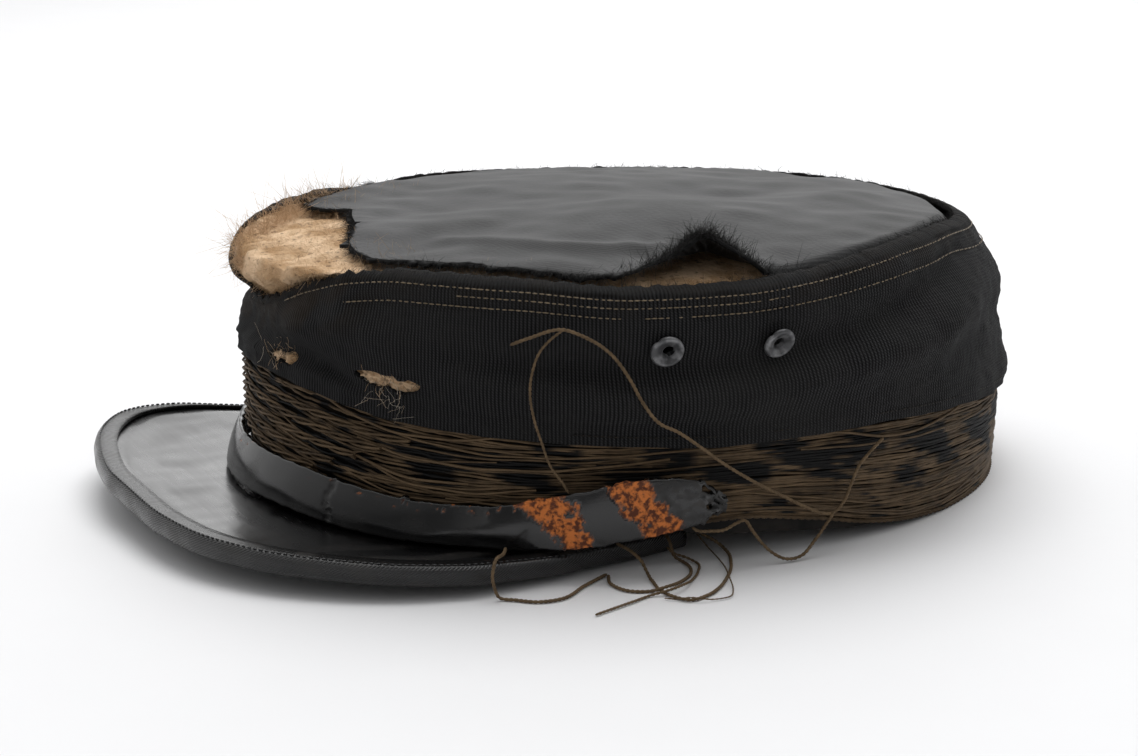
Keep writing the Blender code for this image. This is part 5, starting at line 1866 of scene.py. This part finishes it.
def wadding_fibres(rng):
    """Tan fuzz on the wadding, along the seam strip and in the tears."""
    props = bpy.context.scene.cap_wadding
    level = (0, 0, 0)
    lines = []
    for row in named(FUZZ_COLUMNS, FUZZ_ROWS):
        angle = rng.uniform(row["first"], row["last"], row["count"])
        spots, away = wadding_face(angle, rng.uniform(row["top"], row["foot"], row["count"]))
        ways = away * row["stand"] + rng.normal(0, row["stray"], away.shape)
        longest = props.fibre_length * row["share"]
        lines += hairs(spots, ways, longest, 0.00004, row["seed"], bend=1.2, lean=level)
    angle = rng.uniform(-58, -10, STRIP_HAIRS)
    spots, away = wadding_face(angle, piping_place(angle) - rng.uniform(0.35, 0.9, STRIP_HAIRS))
    ways = away + rng.normal(0, 0.5, away.shape)
    lines += hairs(spots, ways, props.fibre_length * 0.7, 0.00006, 110, bend=2.2, count=6)
    for hole, drop in zip(HOLES, (0.0, 0.02)):
        for step in np.linspace(-0.7, 0.7, 5):
            angle, rise = np.array([hole["angle"] + step * 4]), np.array([hole["rise"] - drop])
            spot = side_point(angle, rise, -0.0012)[0]
            lines += tangle(spot, 0.0008, 9, 0.0040, 0.00003, 108 + int(step * 10))
    tan = strand("tan_fibre", props.colour, props.shade, 0.9)
    placed(strands("wadding_fibres", lines, tan, 3), "wadding")


def white_fibres():
    """Tangles of white fibre that hang about the tears."""
    props = bpy.context.scene.cap_wadding
    lines = []
    for row in named(TANGLE_COLUMNS, TANGLE_ROWS):
        spot = side_point(np.array([row["angle"]]), np.array([row["rise"]]), 0.0010)[0]
        lines += tangle(spot, row["spread"], row["count"], 0.0050, 0.000025, row["seed"])
    white = strand("white_fibre", props.white, props.colour, 0.9)
    placed(strands("loose_white_fibres", lines, white, 3), "wadding")


def threads_piece():
    """The loose threads at the cap's left side, each declared as a cord of its real length."""
    props = bpy.context.scene.cap_threads
    brown = strand("loose_thread", props.colour, props.shade, 0.75)
    for name, route in THREAD_ROUTES.items():
        width = props.diameter * THREAD_THICKNESS.get(name, 1.0)
        line = smooth_line(route, 0.0004)
        line[:, 2] = np.maximum(line[:, 2], width / 2)
        item = plied(name, line, width / 2, brown)
        placed(item, "corded_band")


def stage_piece():
    """The pale floor, the soft lights, the white surround and the camera."""
    props = bpy.context.scene.cap_stage
    mesh = bpy.data.meshes.new("floor")
    shape = bmesh.new()
    bmesh.ops.create_circle(shape, cap_ends=True, segments=64, radius=props.floor_size)
    shape.to_mesh(mesh)
    shape.free()
    mesh.materials.append(pale_floor())
    shown("floor", mesh)
    spots = (
        ("key_light", (-0.35, 0.25, 1.25), 1.1, props.key_power),
        ("fill_light", (1.1, -1.0, 0.7), 1.0, props.fill_power),
        ("back_light", (-1.3, 0.9, 0.8), 1.2, props.back_power),
    )
    for name, place, size, power in spots:
        data = bpy.data.lights.new(name, "AREA")
        data.energy = power
        data.size = size
        turn = Vector(place).to_track_quat("Z", "Y").to_matrix().to_4x4()
        shown(name, data).matrix_world = Matrix.Translation(place) @ turn
    world = bpy.context.scene.world or bpy.data.worlds.new("surround")
    bpy.context.scene.world = world
    world.use_nodes = True
    wire = Wiring(world.node_tree)
    back = next(n for n in world.node_tree.nodes if n.type == "BACKGROUND")
    back.inputs["Color"].default_value = (1.0, 1.0, 1.0, 1.0)
    away = (-math.sin(math.radians(CAMERA_AZIMUTH)), math.cos(math.radians(CAMERA_AZIMUTH)), 0.45)
    links = {0: wire.place("Generated"), 1: away}
    facing = wire.add("ShaderNodeVectorMath", links, operation="DOT_PRODUCT").outputs["Value"]
    levels = {"Value": facing, "From Min": -0.5, "From Max": 0.6}
    levels.update({"To Min": props.sky_front, "To Max": props.sky})
    wire.fill(back, {"Strength": wire.add("ShaderNodeMapRange", levels).outputs[0]})
    bpy.context.scene.view_settings.view_transform = "Standard"
    camera_at_photo()


def camera_at_photo():
    """The camera at the photograph's place, looking as it does."""
    a, e = math.radians(CAMERA_AZIMUTH), math.radians(CAMERA_ELEVATION)
    back = Vector((math.sin(a) * math.cos(e), -math.cos(a) * math.cos(e), math.sin(e)))
    right = Vector((math.cos(a), math.sin(a), 0.0))
    up = back.cross(right)
    focal = PIXELS_PER_METRE * CAMERA_DISTANCE
    aside = (CROWN_PIXEL[0] - PHOTO_SIZE[0] / 2) / focal * CAMERA_DISTANCE
    below = (CROWN_PIXEL[1] - PHOTO_SIZE[1] / 2) / focal * CAMERA_DISTANCE
    place = back * CAMERA_DISTANCE - right * aside + up * below - Vector((0, MIDDLE_Y, 0))
    data = bpy.data.cameras.new("photo_camera")
    data.sensor_width = SENSOR_WIDTH
    data.lens = focal / PHOTO_SIZE[0] * SENSOR_WIDTH
    data.clip_start = 0.01
    item = shown("photo_camera", data)
    item.matrix_world = Matrix.Translation(place) @ Matrix((right, up, back)).transposed().to_4x4()
    bpy.context.scene.camera = item


def sweatband_finish():
    """The sweatband's solid is shown as it is, in dark leather."""
    finished("sweatband", plain_leather())


# Operators, panel and registration


def operator(idname, label, text, build):
    """An operator class that builds one piece or group of like pieces."""

    def execute(self, context):
        build()
        return {"FINISHED"}

    facts = {"bl_idname": "cap." + idname, "bl_label": label, "__doc__": text, "execute": execute}
    return type("CAP_OT_" + idname, (bpy.types.Operator,), facts)


PIECES = (
    operator("stage", "Stage", "Make the floor, the lights and the camera", stage_piece),
    operator("loose_threads", "Loose threads", "Make the loose threads at the left side", threads_piece),
    operator("side_cloth", "Side cloth", "Make the ribbed side cloth", side_cloth),
    operator("top_cloth", "Top cloth", "Make the torn top cloth", top_cloth_piece),
    operator("wadding", "Wadding", "Make the cotton wadding", wadding_piece),
    operator("seam_strip", "Seam strip", "Make the dark seam strip", piping_piece),
    operator("stitches", "Stitches", "Make the rows of stitching", stitches_piece),
    operator("band", "Corded band", "Make the corded band and its threads", band_piece),
    operator("band_strays", "Stray band threads", "Make the band's sagging threads", loose_band_threads),
    operator("rim_cord", "Rim cord", "Make the twisted cord along the rim", rim_cord_piece),
    operator("strap", "Chin strap", "Make the worn chin strap", strap_piece),
    operator("visor", "Visor", "Make the patent leather visor", visor_piece),
    operator("binding", "Visor binding", "Make the visor's binding and its ridge", binding_piece),
    operator("eyelets", "Eyelets", "Make the vent eyelets", eyelets_piece),
    operator("side_button", "Side button", "Make the side button", button_piece),
    operator("tear_wadding", "Wadding in the tears", "Make the wadding in the tears", tear_wadding_piece),
    operator("sweatband", "Sweatband", "Give the sweatband its finish", sweatband_finish),
    operator("fibres", "Fibres", "Make the frayed threads and loose fibres", fibres_piece),
)

GROUPS = {
    "cap_cloth": CapCloth,
    "cap_wadding": CapWadding,
    "cap_band": CapBand,
    "cap_leather": CapLeather,
    "cap_threads": CapThreads,
    "cap_stage": CapStage,
}


class CAP_PT_pieces(bpy.types.Panel):
    """Lists the cap's pieces in the sidebar."""

    bl_label = "Cap"
    bl_idname = "CAP_PT_pieces"
    bl_space_type = "VIEW_3D"
    bl_region_type = "UI"
    bl_category = "Cap"

    def draw(self, context):
        for piece in PIECES:
            self.layout.operator(piece.bl_idname)
        for name, group in GROUPS.items():
            box = self.layout.box()
            box.label(text=group.__name__)
            for key in group.__annotations__:
                box.prop(getattr(context.scene, name), key)


def register():
    """Register the classes and hang the properties on the scene."""
    for name, group in GROUPS.items():
        bpy.utils.register_class(group)
        setattr(bpy.types.Scene, name, PointerProperty(type=group))
    for piece in PIECES:
        bpy.utils.register_class(piece)
    bpy.utils.register_class(CAP_PT_pieces)


def unregister():
    """Take the classes and the properties away again."""
    bpy.utils.unregister_class(CAP_PT_pieces)
    for piece in reversed(PIECES):
        bpy.utils.unregister_class(piece)
    for name, group in GROUPS.items():
        delattr(bpy.types.Scene, name)
        bpy.utils.unregister_class(group)


def main():
    """Build every piece and write how large the solids and the finished look are."""
    register()
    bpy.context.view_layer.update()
    for piece in PIECES:
        getattr(bpy.ops.cap, piece.bl_idname.split(".")[1])()


if __name__ == "__main__":
    main()
